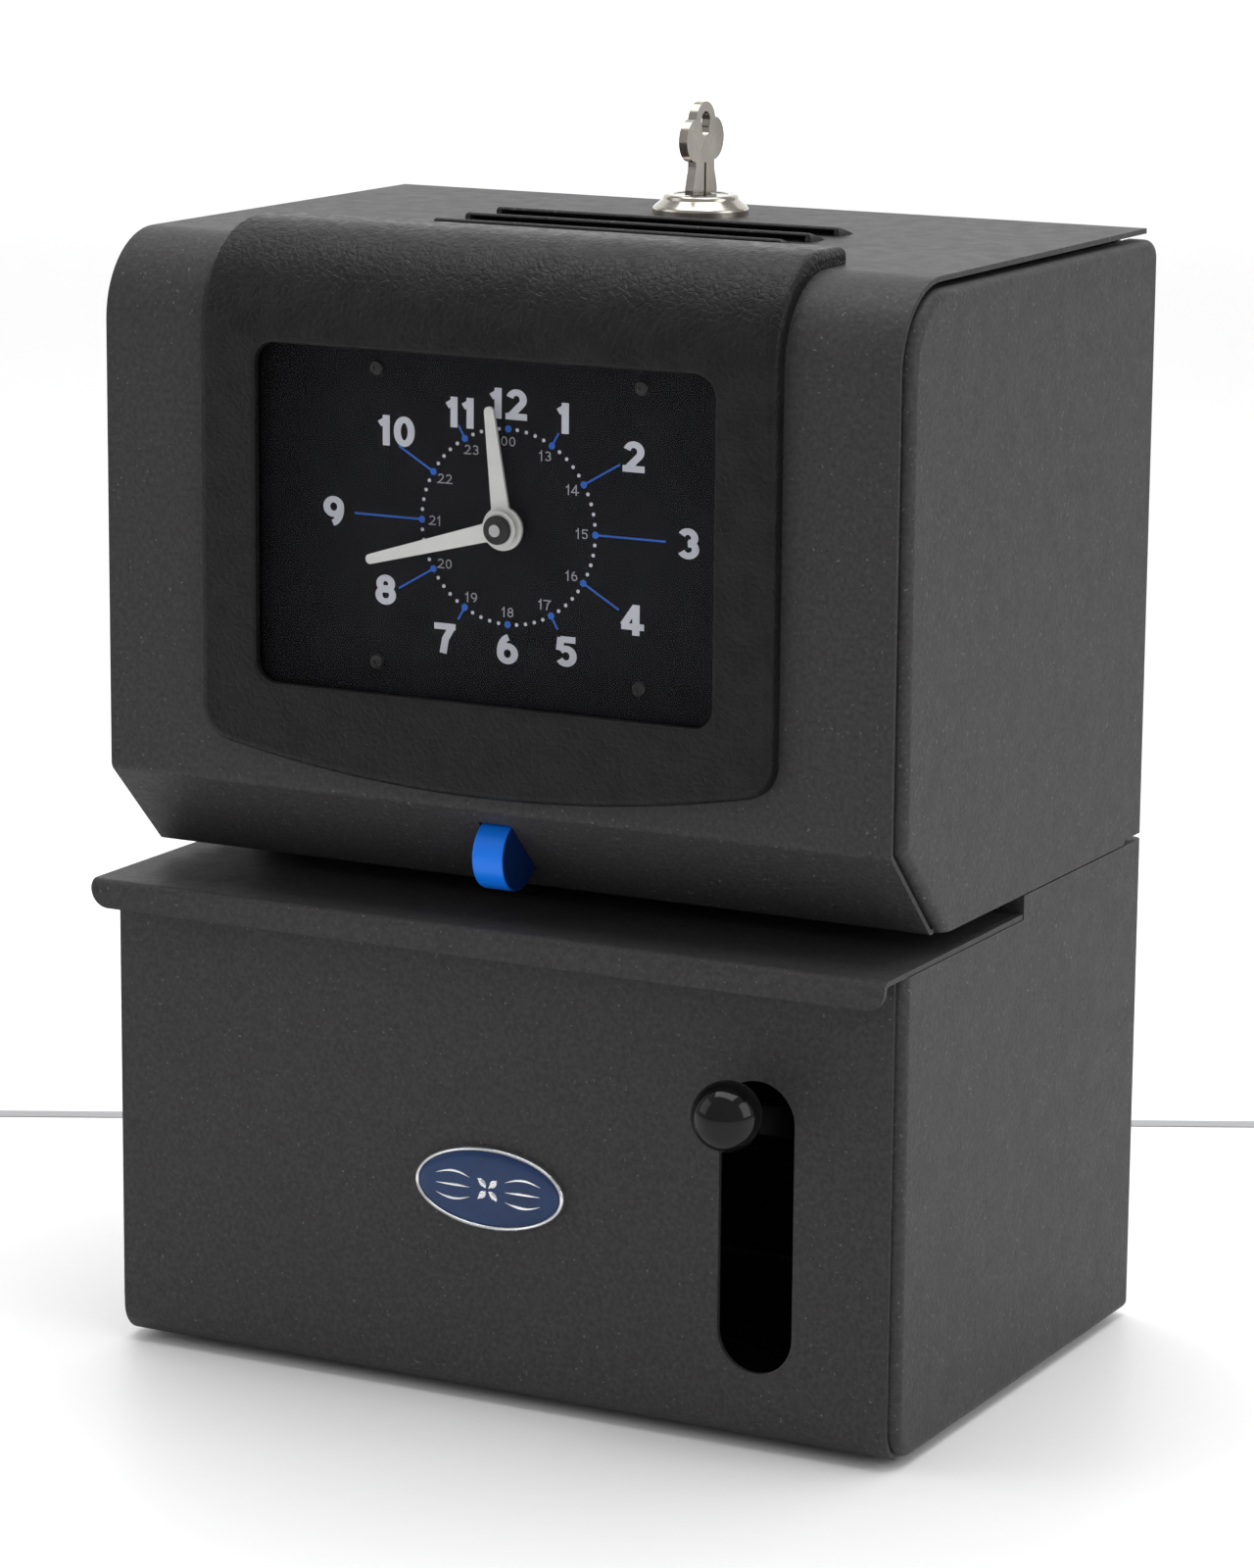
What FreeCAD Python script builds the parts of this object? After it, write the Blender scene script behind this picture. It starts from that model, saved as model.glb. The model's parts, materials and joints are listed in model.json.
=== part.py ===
import FreeCAD, Part
import os
from math import acos, atan2, cos, degrees, hypot, pi, radians, sin, sqrt, tan

# Punch time clock: a lower case with a card shelf, a pull lever and a hammer, and an upper cover that
# slides forward off an analogue movement with printing wheels.
# Model axes: X to the right, Y towards the back, Z up. Lengths in millimetres.
# While it is being built, y = 0 is the outer face of the lower front panel and z = 0 is the underside
# of the case. Saving moves every piece into the part frame: centre of the footprint, on the floor.

# Case
WIDTH = 205.0
DEPTH = 137.0
HEIGHT = 264.4
SHEET = 1.2
WRAP_HALF = 100.3
WRAP_REAR = 134.0
CHEEK_DEPTH = 6.0
CHEEK_EDGE_R = 2.4
CHEEK_INSET = 2.3
INNER_HALF = 95.0
SEAM_GAP = 0.3
REAR_WEDGE = 1.2

# Upper cover
COVER_FRONT_Y = -3.0
TOP_BEND_R = 20.0
CHAMFER_TOP_Z = 139.7
THROAT_TOP_Z = 118.3
CHAMFER_END_Y = COVER_FRONT_Y + CHAMFER_TOP_Z - THROAT_TOP_Z
COVER_RETURN_Y = 20.4

# Card pointer and its slot
POINTER_HALF = 4.1
POINTER_LOW_Z = 123.7
POINTER_HIGH_Z = 136.0

# Lower case
SHELF_TOP_Z = 113.6
THROAT_DEPTH = 65.8
SHELF_HALF = 102.3
LIP_REACH = 9.2
LIP_BOTTOM_Z = 107.0
LIP_CORNER_R = 4.5
BASE_BEND_R = 8.0
FOOT_HEIGHT = 1.5

# Lever, slot and knob
SLOT_X = 67.5
SLOT_WIDTH = 18.6
SLOT_LOW_Z = 17.0
SLOT_HIGH_Z = 85.0
KNOB_R = 8.0
KNOB_Y = -15.2
KNOB_Z = 80.6
PIVOT_Y = 90.0
PIVOT_Z = 50.0

# Window, bezel and dial
WINDOW_W = 116.5
WINDOW_H = 78.0
WINDOW_Z = 203.5
WINDOW_R = 5.0
BEZEL_HALF = 73.0
BEZEL_PROUD = 4.0
BEZEL_REAR_Y = 27.0
BEZEL_LOW_Z = 142.9
BEZEL_ARC_R = 330.0
DIAL_Y = 6.6
DIAL_Z = 203.0
DIAL_SCREW = 33.8

# Lock
LOCK_X = -3.5
LOCK_Y = 107.6
LOCK_BASE_R = 11.5
LOCK_BORE_R = 6.5

# Movement
PLATE_T = 1.5
FRONT_PLATE_Y = 13.0
REAR_PLATE_Y = 56.0
DECK_Z = THROAT_TOP_Z + 0.1
DECK_FRONT_Y = 22.0
TYPE_R = 15.0
BACKLASH = 0.16
RUN = 0.05

# Louvres, badge, key, rear panel and hammer rocker
LOUVRE_YS = (48.1, 63.2, 78.3)
LOUVRE_X = 2.0
LOUVRE_HALF = 45.0
LOUVRE_RISE = 2.3
BADGE_W, BADGE_H, BADGE_Z = 39.0, 19.6, 50.8
KEY_T = 2.2
REAR_PANEL_Y = 131.0
REAR_PANEL_TOP_Z = 262.6
WALL_X = 120.0
WALL_ZS = (78.0, 228.0)
WALL_HOLE_R = 2.6
GLAND_X = -62.0
CASE_SCREW_X = 83.5
CASE_SCREW_ZS = (20.0, 100.0)
ROCKER_Y = 64.5
ROCKER_Z = 46.0

# Hands and ribbon
MINUTE_ANGLE = 254.2
HOUR_ANGLE = 352.3
SPOOL_X = 60.0
SPOOL_Z = 150.0
SPOOL_Y = (26.5, 52.7)
RIBBON_Z = DECK_Z + PLATE_T + 0.3
GUIDE_X = 26.0
GUIDE_R = 1.5

FRAME_SHIFT = FreeCAD.Vector(0.0, -(DEPTH + KNOB_Y - KNOB_R) / 2.0, FOOT_HEIGHT)


def vec(x, y, z):
    return FreeCAD.Vector(x, y, z)


def box(x0, x1, y0, y1, z0, z1):
    return Part.makeBox(x1 - x0, y1 - y0, z1 - z0, vec(x0, y0, z0))


def rod_x(radius, y, z, x0, x1):
    return Part.makeCylinder(radius, x1 - x0, vec(x0, y, z), vec(1, 0, 0))


def rod_y(radius, x, z, y0, y1):
    return Part.makeCylinder(radius, y1 - y0, vec(x, y0, z), vec(0, 1, 0))


def rod_z(radius, x, y, z0, z1):
    return Part.makeCylinder(radius, z1 - z0, vec(x, y, z0), vec(0, 0, 1))


def join(shapes):
    return shapes[0].multiFuse(shapes[1:]).removeSplitter() if len(shapes) > 1 else shapes[0]


def save(name, *solids):
    """Move one node into the part frame and export it, as one solid or a group of separate ones."""
    shape = solids[0].copy() if len(solids) == 1 else Part.makeCompound(list(solids))
    shape.translate(FRAME_SHIFT)
    shape.exportStep("parts/" + name + ".step")


def place(plane, level, a, b):
    """A point of an outline: plane names its two axes, level is its place on the third."""
    if plane == "YZ":
        return vec(level, a, b)
    if plane == "XZ":
        return vec(a, level, b)
    return vec(a, b, level)


def outline(points, radii, plane, level):
    """A closed wire through the points, with each corner rounded by its radius."""
    edges = []
    count = len(points)
    starts = []
    ends = []
    mids = []
    for i, (a, b) in enumerate(points):
        pa, pb = points[i - 1]
        na, nb = points[(i + 1) % count]
        back = hypot(pa - a, pb - b)
        ahead = hypot(na - a, nb - b)
        ua, ub = (pa - a) / back, (pb - b) / back
        va, vb = (na - a) / ahead, (nb - b) / ahead
        radius = radii[i]
        if radius <= 0:
            starts.append((a, b))
            ends.append((a, b))
            mids.append(None)
            continue
        half = acos(max(-1.0, min(1.0, ua * va + ub * vb))) / 2.0
        cut = radius / tan(half)
        bisector = hypot(ua + va, ub + vb)
        reach = radius / sin(half) - radius
        starts.append((a + ua * cut, b + ub * cut))
        ends.append((a + va * cut, b + vb * cut))
        mids.append((a + (ua + va) / bisector * reach, b + (ub + vb) / bisector * reach))
    for i in range(count):
        if mids[i]:
            arc = Part.Arc(place(plane, level, *starts[i]), place(plane, level, *mids[i]),
                           place(plane, level, *ends[i]))
            edges.append(arc.toShape())
        p = place(plane, level, *ends[i])
        q = place(plane, level, *starts[(i + 1) % count])
        if p.distanceToPoint(q) > 1e-6:
            edges.append(Part.LineSegment(p, q).toShape())
    return Part.Wire(edges)


def prism(points, radii, plane, low, high):
    """A flat outline pulled straight along the third axis, from low to high."""
    if not isinstance(radii, (list, tuple)):
        radii = [radii] * len(points)
    face = Part.Face(outline(points, radii, plane, low))
    return face.extrude(place(plane, high - low, 0.0, 0.0))


def offset_path(points, distance, closed=False):
    """The same path moved sideways, to the left of its direction of travel."""
    count = len(points)
    moved = []
    for i in range(count):
        sides = []
        for j, k in ((i - 1, i), (i, i + 1)):
            if not closed and (j < 0 or k >= count):
                continue
            (a0, b0), (a1, b1) = points[j % count], points[k % count]
            length = hypot(a1 - a0, b1 - b0)
            sides.append((-(b1 - b0) / length, (a1 - a0) / length))
        n0, n1 = sides[0], sides[-1]
        scale = distance / (1.0 + n0[0] * n1[0] + n0[1] * n1[1])
        moved.append((points[i][0] + (n0[0] + n1[0]) * scale, points[i][1] + (n0[1] + n1[1]) * scale))
    return moved


def folded_sheet(path, radii, thickness, x0, x1):
    """Bent sheet: path is its outer side in Y and Z, and the sheet lies to the left of it."""
    inner = offset_path(path, thickness)
    inner_radii = [max(r - thickness, 0.0) if r else 0.0 for r in radii]
    return prism(path + inner[::-1], list(radii) + inner_radii[::-1], "YZ", x0, x1)


def cheek(points, radii, outer, outer_radii, spare, side):
    """A shallow pressed pan that closes one end of the case: side is +1 on the right, -1 on the left.

    The rim is rounded along the outer profile; cutting the spare part off leaves a sharp edge at the seam.
    """
    outer_x = WIDTH / 2.0
    inner_x = outer_x - CHEEK_DEPTH
    pan = prism(outer, outer_radii, "YZ", inner_x, outer_x)
    rim = [e for e in pan.Edges if abs(e.CenterOfMass.x - outer_x) < 1e-6]
    pan = pan.makeFillet(CHEEK_EDGE_R, rim)
    pan = pan.cut(prism(spare, 0, "YZ", inner_x - 1, outer_x + 1))
    hollow_radii = [max(r - SHEET, 0.4) for r in radii]
    hollow = prism(offset_path(points, SHEET, closed=True), hollow_radii, "YZ", inner_x, outer_x - SHEET)
    roof = [e for e in hollow.Edges if abs(e.CenterOfMass.x - outer_x + SHEET) < 1e-6]
    hollow = hollow.makeFillet(CHEEK_EDGE_R - SHEET, roof)
    pan = pan.cut(hollow)
    if side < 0:
        pan = pan.mirror(vec(0, 0, 0), vec(1, 0, 0))
    return pan


def window_prism(width, height, radius, y0, y1):
    x, z = width / 2.0, height / 2.0
    points = [(-x, WINDOW_Z - z), (x, WINDOW_Z - z), (x, WINDOW_Z + z), (-x, WINDOW_Z + z)]
    return prism(points, radius, "XZ", y0, y1)


def screw(x, y, z, direction, head_r, head_h, shank_r, shank_l):
    """A pan-head screw: the head stands out along direction, the shank goes the other way."""
    head = Part.makeCylinder(head_r, head_h, vec(x, y, z), direction)
    top = [e for e in head.Edges if (e.CenterOfMass - vec(x, y, z)).dot(direction) > head_h * 0.9]
    head = head.makeFillet(head_h * 0.45, top[:1])
    shank = Part.makeCylinder(shank_r, shank_l, vec(x, y, z), direction * -1)
    socket_foot = vec(x, y, z) + direction * (head_h * 0.6)
    socket = Part.makeCylinder(head_r * 0.32, head_h * 0.5, socket_foot, direction)
    return head.fuse(shank).cut(socket)


def gear(teeth, module, x, z, y0, y1, phase, bore, holes=0):
    """A spur gear on an axis along Y. phase is the angle of one tooth's middle, from +X towards +Z."""
    pressure = radians(20.0)
    pitch_r = module * teeth / 2.0
    base_r = pitch_r * cos(pressure)
    tip_r = pitch_r + 0.7 * module
    root_r = pitch_r - 1.0 * module
    half_pitch = pi / (2.0 * teeth) - BACKLASH / (4.0 * pitch_r)
    spread = half_pitch + tan(pressure) - pressure

    def half_angle(r):
        if r <= base_r:
            return spread
        angle = acos(base_r / r)
        return spread - (tan(angle) - angle)

    foot_r = max(base_r, root_r + 0.05)
    flank = [root_r] + [foot_r + (tip_r - foot_r) * i / 4.0 for i in range(5)]
    points = []
    for i in range(teeth):
        middle = radians(phase) + 2.0 * pi * i / teeth
        for r in flank:
            points.append((r, middle - half_angle(r)))
        for r in reversed(flank):
            points.append((r, middle + half_angle(r)))
    rim = [vec(x + r * cos(t), y0, z + r * sin(t)) for r, t in points]
    wires = [Part.makePolygon(rim + rim[:1])]
    if bore:
        wires.append(Part.Wire(Part.makeCircle(bore, vec(x, y0, z), vec(0, 1, 0))))
    for i in range(holes):
        turn = 2.0 * pi * (i + 0.5) / holes
        middle_r = (root_r + bore + 1.6) / 2.0
        hole_r = min((root_r - bore - 1.6) / 2.0 - 0.9, middle_r * sin(pi / holes) - 0.9)
        centre = vec(x + middle_r * cos(turn), y0, z + middle_r * sin(turn))
        wires.append(Part.Wire(Part.makeCircle(hole_r, centre, vec(0, 1, 0))))
    face = Part.Face(wires, "Part::FaceMakerBullseye")
    return face.extrude(vec(0, y1 - y0, 0))


def mesh_phase(phase, teeth, other_teeth, direction):
    """Phase of a gear whose gap faces a tooth of the gear that drives it."""
    return direction + 180.0 + 180.0 / other_teeth - (phase - direction) * teeth / other_teeth


def polar(x, z, radius, angle):
    return x + radius * cos(radians(angle)), z + radius * sin(radians(angle))


# Gear train: teeth, modules and centres
CENTRE_TEETH = 36
IDLER_TEETH = 60
MOTOR_TEETH = 12
TRAIN_M = 0.7
IDLER_Z = DIAL_Z - TRAIN_M * (CENTRE_TEETH + IDLER_TEETH) / 2.0
TYPE_Z = IDLER_Z - TRAIN_M * (CENTRE_TEETH + IDLER_TEETH) / 2.0
MOTOR_ANGLE = 0.0
MOTOR_X, MOTOR_Z = polar(0.0, IDLER_Z, TRAIN_M * (IDLER_TEETH + MOTOR_TEETH) / 2.0, MOTOR_ANGLE)
CANNON_TEETH, MOTION_TEETH, MOTION_M = 12, 36, 0.5
MOTION_PINION_TEETH, HOUR_TEETH, HOUR_M = 10, 40, 0.48
MOTION_ANGLE = 200.0
MOTION_X, MOTION_Z = polar(0.0, DIAL_Z, MOTION_M * (CANNON_TEETH + MOTION_TEETH) / 2.0, MOTION_ANGLE)
A_ANGLE = 150.0
A_FIRST, A_SECOND, A_FIRST_M = 12, 48, 0.56
A_THIRD, A_FOURTH, A_SECOND_M = 10, 60, 0.48
A_X, A_Z = polar(0.0, TYPE_Z, A_FIRST_M * (A_FIRST + A_SECOND) / 2.0, A_ANGLE)
B_ANGLE = 30.0
B_FIRST, B_SECOND, B_FIRST_M = 16, 56, 0.5
B_THIRD, B_FOURTH, B_SECOND_M = 20, 40, 0.6
B_X, B_Z = polar(0.0, TYPE_Z, B_FIRST_M * (B_FIRST + B_SECOND) / 2.0, B_ANGLE)

# Places along the shafts, front face and rear face
TRAIN_Y = (19.5, 21.5)
DAY_GEAR_Y = (27.0, 28.3)
DAY_TYPE_Y = (28.7, 33.7)
HOUR_PINION_Y = (35.2, 36.4)
HOUR_TYPE_Y = (37.0, 42.0)
HOUR_GEAR_Y = (42.4, 43.7)
MINUTE_TYPE_Y = (45.0, 50.0)
MINUTE_PINION_Y = (51.3, 52.7)
CANNON_Y = (10.9, 12.3)
HOUR_WHEEL_Y = (9.0, 10.3)
SHAFT_R = 1.2
TYPE_SHAFT_R = 1.5
ARBOR_R = 1.4


def cover_parts():
    half = WRAP_HALF
    front = COVER_FRONT_Y
    path = [(WRAP_REAR, HEIGHT), (front, HEIGHT), (front, CHAMFER_TOP_Z),
            (CHAMFER_END_Y, THROAT_TOP_Z), (COVER_RETURN_Y, THROAT_TOP_Z)]
    wrap = folded_sheet(path, [0, TOP_BEND_R, 3.0, 2.0, 0], SHEET, -half, half)
    cuts = [window_prism(WINDOW_W + 7, WINDOW_H + 7, WINDOW_R + 2, front - 1, front + SHEET + 1)]
    slot_half = POINTER_HALF + 0.15
    cuts.append(box(-slot_half, slot_half, front + 1, 14.0, POINTER_LOW_Z, POINTER_HIGH_Z))
    cuts.append(rod_z(9.6, LOCK_X, LOCK_Y, HEIGHT - 3, HEIGHT + 1))
    louvres = []
    for y in LOUVRE_YS:
        cuts.append(box(LOUVRE_X - LOUVRE_HALF + 1.5, LOUVRE_X + LOUVRE_HALF - 1.5, y, y + 5.4,
                        HEIGHT - 2, HEIGHT + 0.1))
        louvres.append(louvre(y).translated(vec(LOUVRE_X, 0, 0)))
    wrap = wrap.cut(Part.makeCompound(cuts))
    save("cover_wrap", join([wrap] + louvres))

    rear, low, top = DEPTH, THROAT_TOP_Z, HEIGHT - 2.5
    inset = CHEEK_INSET
    front_y = front + inset
    chamfer = CHAMFER_TOP_Z + front + inset * sqrt(2.0)
    wedge = low + REAR_WEDGE
    points = [(rear, wedge), (rear, top), (front_y, top), (front_y, chamfer - front_y),
              (chamfer - low, low), (rear - 12.0, low), (rear - 11.0, wedge)]
    radii = [1.5, 4.5, TOP_BEND_R - inset, 2.6, 2.6, 0.5, 0.5]
    spare_z = low - 8.0
    outer = [(rear, spare_z), (rear, top), (front_y, top), (front_y, chamfer - front_y),
             (chamfer - spare_z, spare_z)]
    outer_radii = [4.0, 4.5, TOP_BEND_R - inset, 2.6, 4.0]
    spare = [(-20, low), (rear - 12.0, low), (rear - 11.0, wedge), (rear + 5, wedge),
             (rear + 5, 90), (-20, 90)]
    for side, name in ((1, "right"), (-1, "left")):
        save("cover_cheek_" + name, cheek(points, radii, outer, outer_radii, spare, side))


def louvre(y):
    """A raised hood over a vent slot: open towards the front, sloping down to the rear."""
    half, rise, run = LOUVRE_HALF, LOUVRE_RISE, 8.0
    top = HEIGHT
    outer = prism([(y, top - 0.1), (y, top + rise), (y + run, top - 0.1)], [0, 0.6, 0], "YZ", -half, half)
    low = top - 0.2
    roof = top + rise - 0.8
    inner = prism([(y - 1, low), (y - 1, roof), (y + 0.8, roof), (y + run - 2.6, low)], 0, "YZ", -half + 1.3, half - 1.3)
    ends = [box(s * half - 2.0, s * half + 2.0, y - 2, y + run + 1, top + rise - 1.4, top + rise + 1)
            for s in (-1, 1)]
    rounds = [rod_y(1.4, s * (half - 1.4), top + rise - 1.4, y - 2, y + run + 1) for s in (-1, 1)]
    corner = [e.cut(Part.makeCompound([r, box(-half + 1.4, half - 1.4, y - 3, y + run + 2, top, top + 9)]))
              for e, r in zip(ends, rounds)]
    return outer.cut(inner).cut(Part.makeCompound(corner))


def bezel_parts():
    front = COVER_FRONT_Y
    face = front - BEZEL_PROUD
    gap = 0.1
    top = HEIGHT + BEZEL_PROUD
    path = [(BEZEL_REAR_Y, top), (face, top), (face, BEZEL_LOW_Z - 6)]
    thick = BEZEL_PROUD - gap
    shell = folded_sheet(path, [0, TOP_BEND_R + BEZEL_PROUD, 0], thick, -BEZEL_HALF, BEZEL_HALF)
    arc_z = BEZEL_LOW_Z + BEZEL_ARC_R
    below = box(-90, 90, face - 5, front + 5, BEZEL_LOW_Z - 40, BEZEL_LOW_Z + 30)
    below = below.cut(rod_y(BEZEL_ARC_R, 0, arc_z, face - 6, front + 6))
    shell = shell.cut(below)
    corner_z = arc_z - sqrt(BEZEL_ARC_R ** 2 - BEZEL_HALF ** 2)
    corners = [e for e in shell.Edges
               if abs(abs(e.CenterOfMass.x) - BEZEL_HALF) < 1e-3 and abs(e.CenterOfMass.z - corner_z) < 0.6
               and e.Length < thick + 0.5]
    shell = shell.makeFillet(8.0, corners)
    rim = [e for e in shell.Edges if is_bezel_rim(e, face, top)]
    shell = shell.makeFillet(2.0, rim)
    shell = shell.cut(window_prism(WINDOW_W, WINDOW_H, WINDOW_R, face - 1, front + 1))
    mouth = [e for e in shell.Edges if abs(e.CenterOfMass.y - face) < 1e-3
             and abs(e.CenterOfMass.x) < WINDOW_W / 2 + 1
             and abs(e.CenterOfMass.z - WINDOW_Z) < WINDOW_H / 2 + 1]
    shell = shell.makeFillet(0.9, mouth)
    shell = shell.cut(window_prism(WINDOW_W + 4.2, WINDOW_H + 4.2, WINDOW_R + 1, face + 2.0, front + 1))
    save("bezel", shell)
    save("window_lens", window_prism(WINDOW_W + 4, WINDOW_H + 4, WINDOW_R + 1, face + 2.0, face + 4.0))


def is_bezel_rim(edge, face, top):
    """The outer edges of the bezel's front and top, which are rounded."""
    centre = edge.CenterOfMass
    if abs(abs(centre.x) - BEZEL_HALF) < 1e-3:
        outer = abs(centre.y - face) < 1e-3 or abs(centre.z - top) < 1e-3
        bend_r = TOP_BEND_R + BEZEL_PROUD
        bend = vec(0, centre.y - face - bend_r, centre.z - top + bend_r)
        curved = edge.Curve.TypeId == "Part::GeomCircle"
        return outer or (curved and abs(edge.Curve.Radius - bend_r) < 1e-3 and bend.Length > 1)
    low_edge = abs(centre.y - face) < 1e-3 and centre.z < BEZEL_LOW_Z + 16
    rear_edge = abs(centre.z - top) < 1e-3 and abs(centre.y - BEZEL_REAR_Y) < 1e-3
    return low_edge or rear_edge


def pointer_part():
    """The card pointer: a half disc that stands out of a slot in the chamfer, on a foot inside."""
    centre_y, centre_z, radius = 5.6, 128.1, 8.2
    disc = rod_x(radius, centre_y, centre_z, -POINTER_HALF, POINTER_HALF)
    chamfer = CHAMFER_TOP_Z + COVER_FRONT_Y
    behind = prism([(chamfer - 150, 150), (chamfer - 100, 100), (60, 100), (60, 150)], 0, "YZ", -9, 9)
    behind.translate(vec(0, 1.6, 1.6))
    tab = disc.cut(behind)
    rim = [e for e in tab.Edges if e.Curve.TypeId == "Part::GeomCircle"]
    tab = tab.makeFillet(0.6, rim)
    foot_low = (chamfer - 121.5, 121.5)
    foot_high = (chamfer - 135.0, 135.0)
    slope = SHEET / sqrt(2.0) + 0.1
    far = slope + 1.1
    foot = prism([(foot_low[0] + slope, foot_low[1] + slope), (foot_low[0] + far, foot_low[1] + far),
                  (foot_high[0] + far, foot_high[1] + far), (foot_high[0] + slope, foot_high[1] + slope)],
                 0, "YZ", -8.0, 8.0)
    save("card_pointer", join([tab, foot]))


def lock_parts():
    """Dress ring and body stay in the cover; cylinder, cam and key turn together."""
    x, y, top = LOCK_X, LOCK_Y, HEIGHT
    outer, bore = LOCK_BASE_R, LOCK_BORE_R
    section = [(bore, top - 0.5), (outer, top - 0.5), (outer, top), (outer, top + 1.7), (9.1, top + 3.7),
               (9.1, top + 4.8), (bore, top + 4.8)]
    ring = Part.Face(outline(section, [0, 0, 0, 0.9, 0.4, 0.9, 0.3], "XZ", 0.0))
    ring = ring.revolve(vec(0, 0, 0), vec(0, 0, 1), 360).translated(vec(x, y, 0))
    ring = ring.cut(box(x - 15, x + 15, y - 15, y + 15, top - 1, top))
    body = rod_z(9.4, x, y, top - 14.0, top)
    nut_points = [(x + 14.0 * cos(pi * i / 3), y + 14.0 * sin(pi * i / 3)) for i in range(6)]
    nut = prism(nut_points, 0, "XY", top - SHEET - 4.0, top - SHEET - 0.1)
    shell = join([ring, body, nut]).cut(rod_z(bore, x, y, top - 15, top + 6))
    save("lock_body", shell)

    cylinder = rod_z(bore - RUN, x, y, top - 16.0, top + 4.6)
    keyway = box(x - 1.35, x + 1.35, y - 4.1, y + 4.1, top - 10.2, top + 5)
    save("lock_cylinder", cylinder.cut(keyway))
    cam = box(x - 4.5, x + 4.5, y - 5.5, y + 17.0, top - 18.0, top - 16.0)
    corners = [e for e in cam.Edges if e.Length < 2.1 and abs(e.CenterOfMass.z - top + 17.0) < 1e-3]
    cam = cam.makeFillet(4.0, corners)
    screw_head = rod_z(3.0, x, y, top - 19.2, top - 18.0)
    save("lock_cam", join([cam, screw_head]))
    save("key", key_solid(y, top).translated(vec(x, 0, 0)))


def key_solid(y, top):
    """A flat key with a three-lobed bow, standing in the keyway with its broad faces to the sides."""
    half = KEY_T / 2.0
    bow_z = top + 17.8
    crown_z = top + 21.6
    lobes = [rod_x(5.1, y + s * 4.6, bow_z, -half, half) for s in (-1, 1)]
    crown = rod_x(5.2, y, crown_z, -half, half)
    foot, waist = top + 4.9, top + 11.0
    neck = prism([(y - 6.2, foot), (y + 6.2, foot), (y + 6.2, foot + 1.2), (y + 4.8, waist),
                  (y + 4.8, bow_z), (y - 4.8, bow_z), (y - 4.8, waist), (y - 6.2, foot + 1.2)],
                 [0, 0, 0.8, 4, 0, 0, 4, 0.8], "YZ", -half, half)
    bow = join(lobes + [crown, neck])
    blade = prism([(y - 3.4, top - 9.8), (y - 1.6, top - 9.8), (y + 3.4, top - 7.4), (y + 3.4, top + 5.2),
                   (y - 3.4, top + 5.2)], 0, "YZ", -half + 0.1, half - 0.1)
    hole = rod_x(2.3, y, crown_z + 0.6, -half - 1, half + 1)
    hole = hole.fuse(rod_x(1.9, y, crown_z - 1.2, -half - 1, half + 1))
    groove = box(half - 0.45, half + 1, y - 0.5, y + 0.5, top - 10, bow_z - 5.5)
    return join([bow, blade]).cut(hole).cut(groove)


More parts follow.
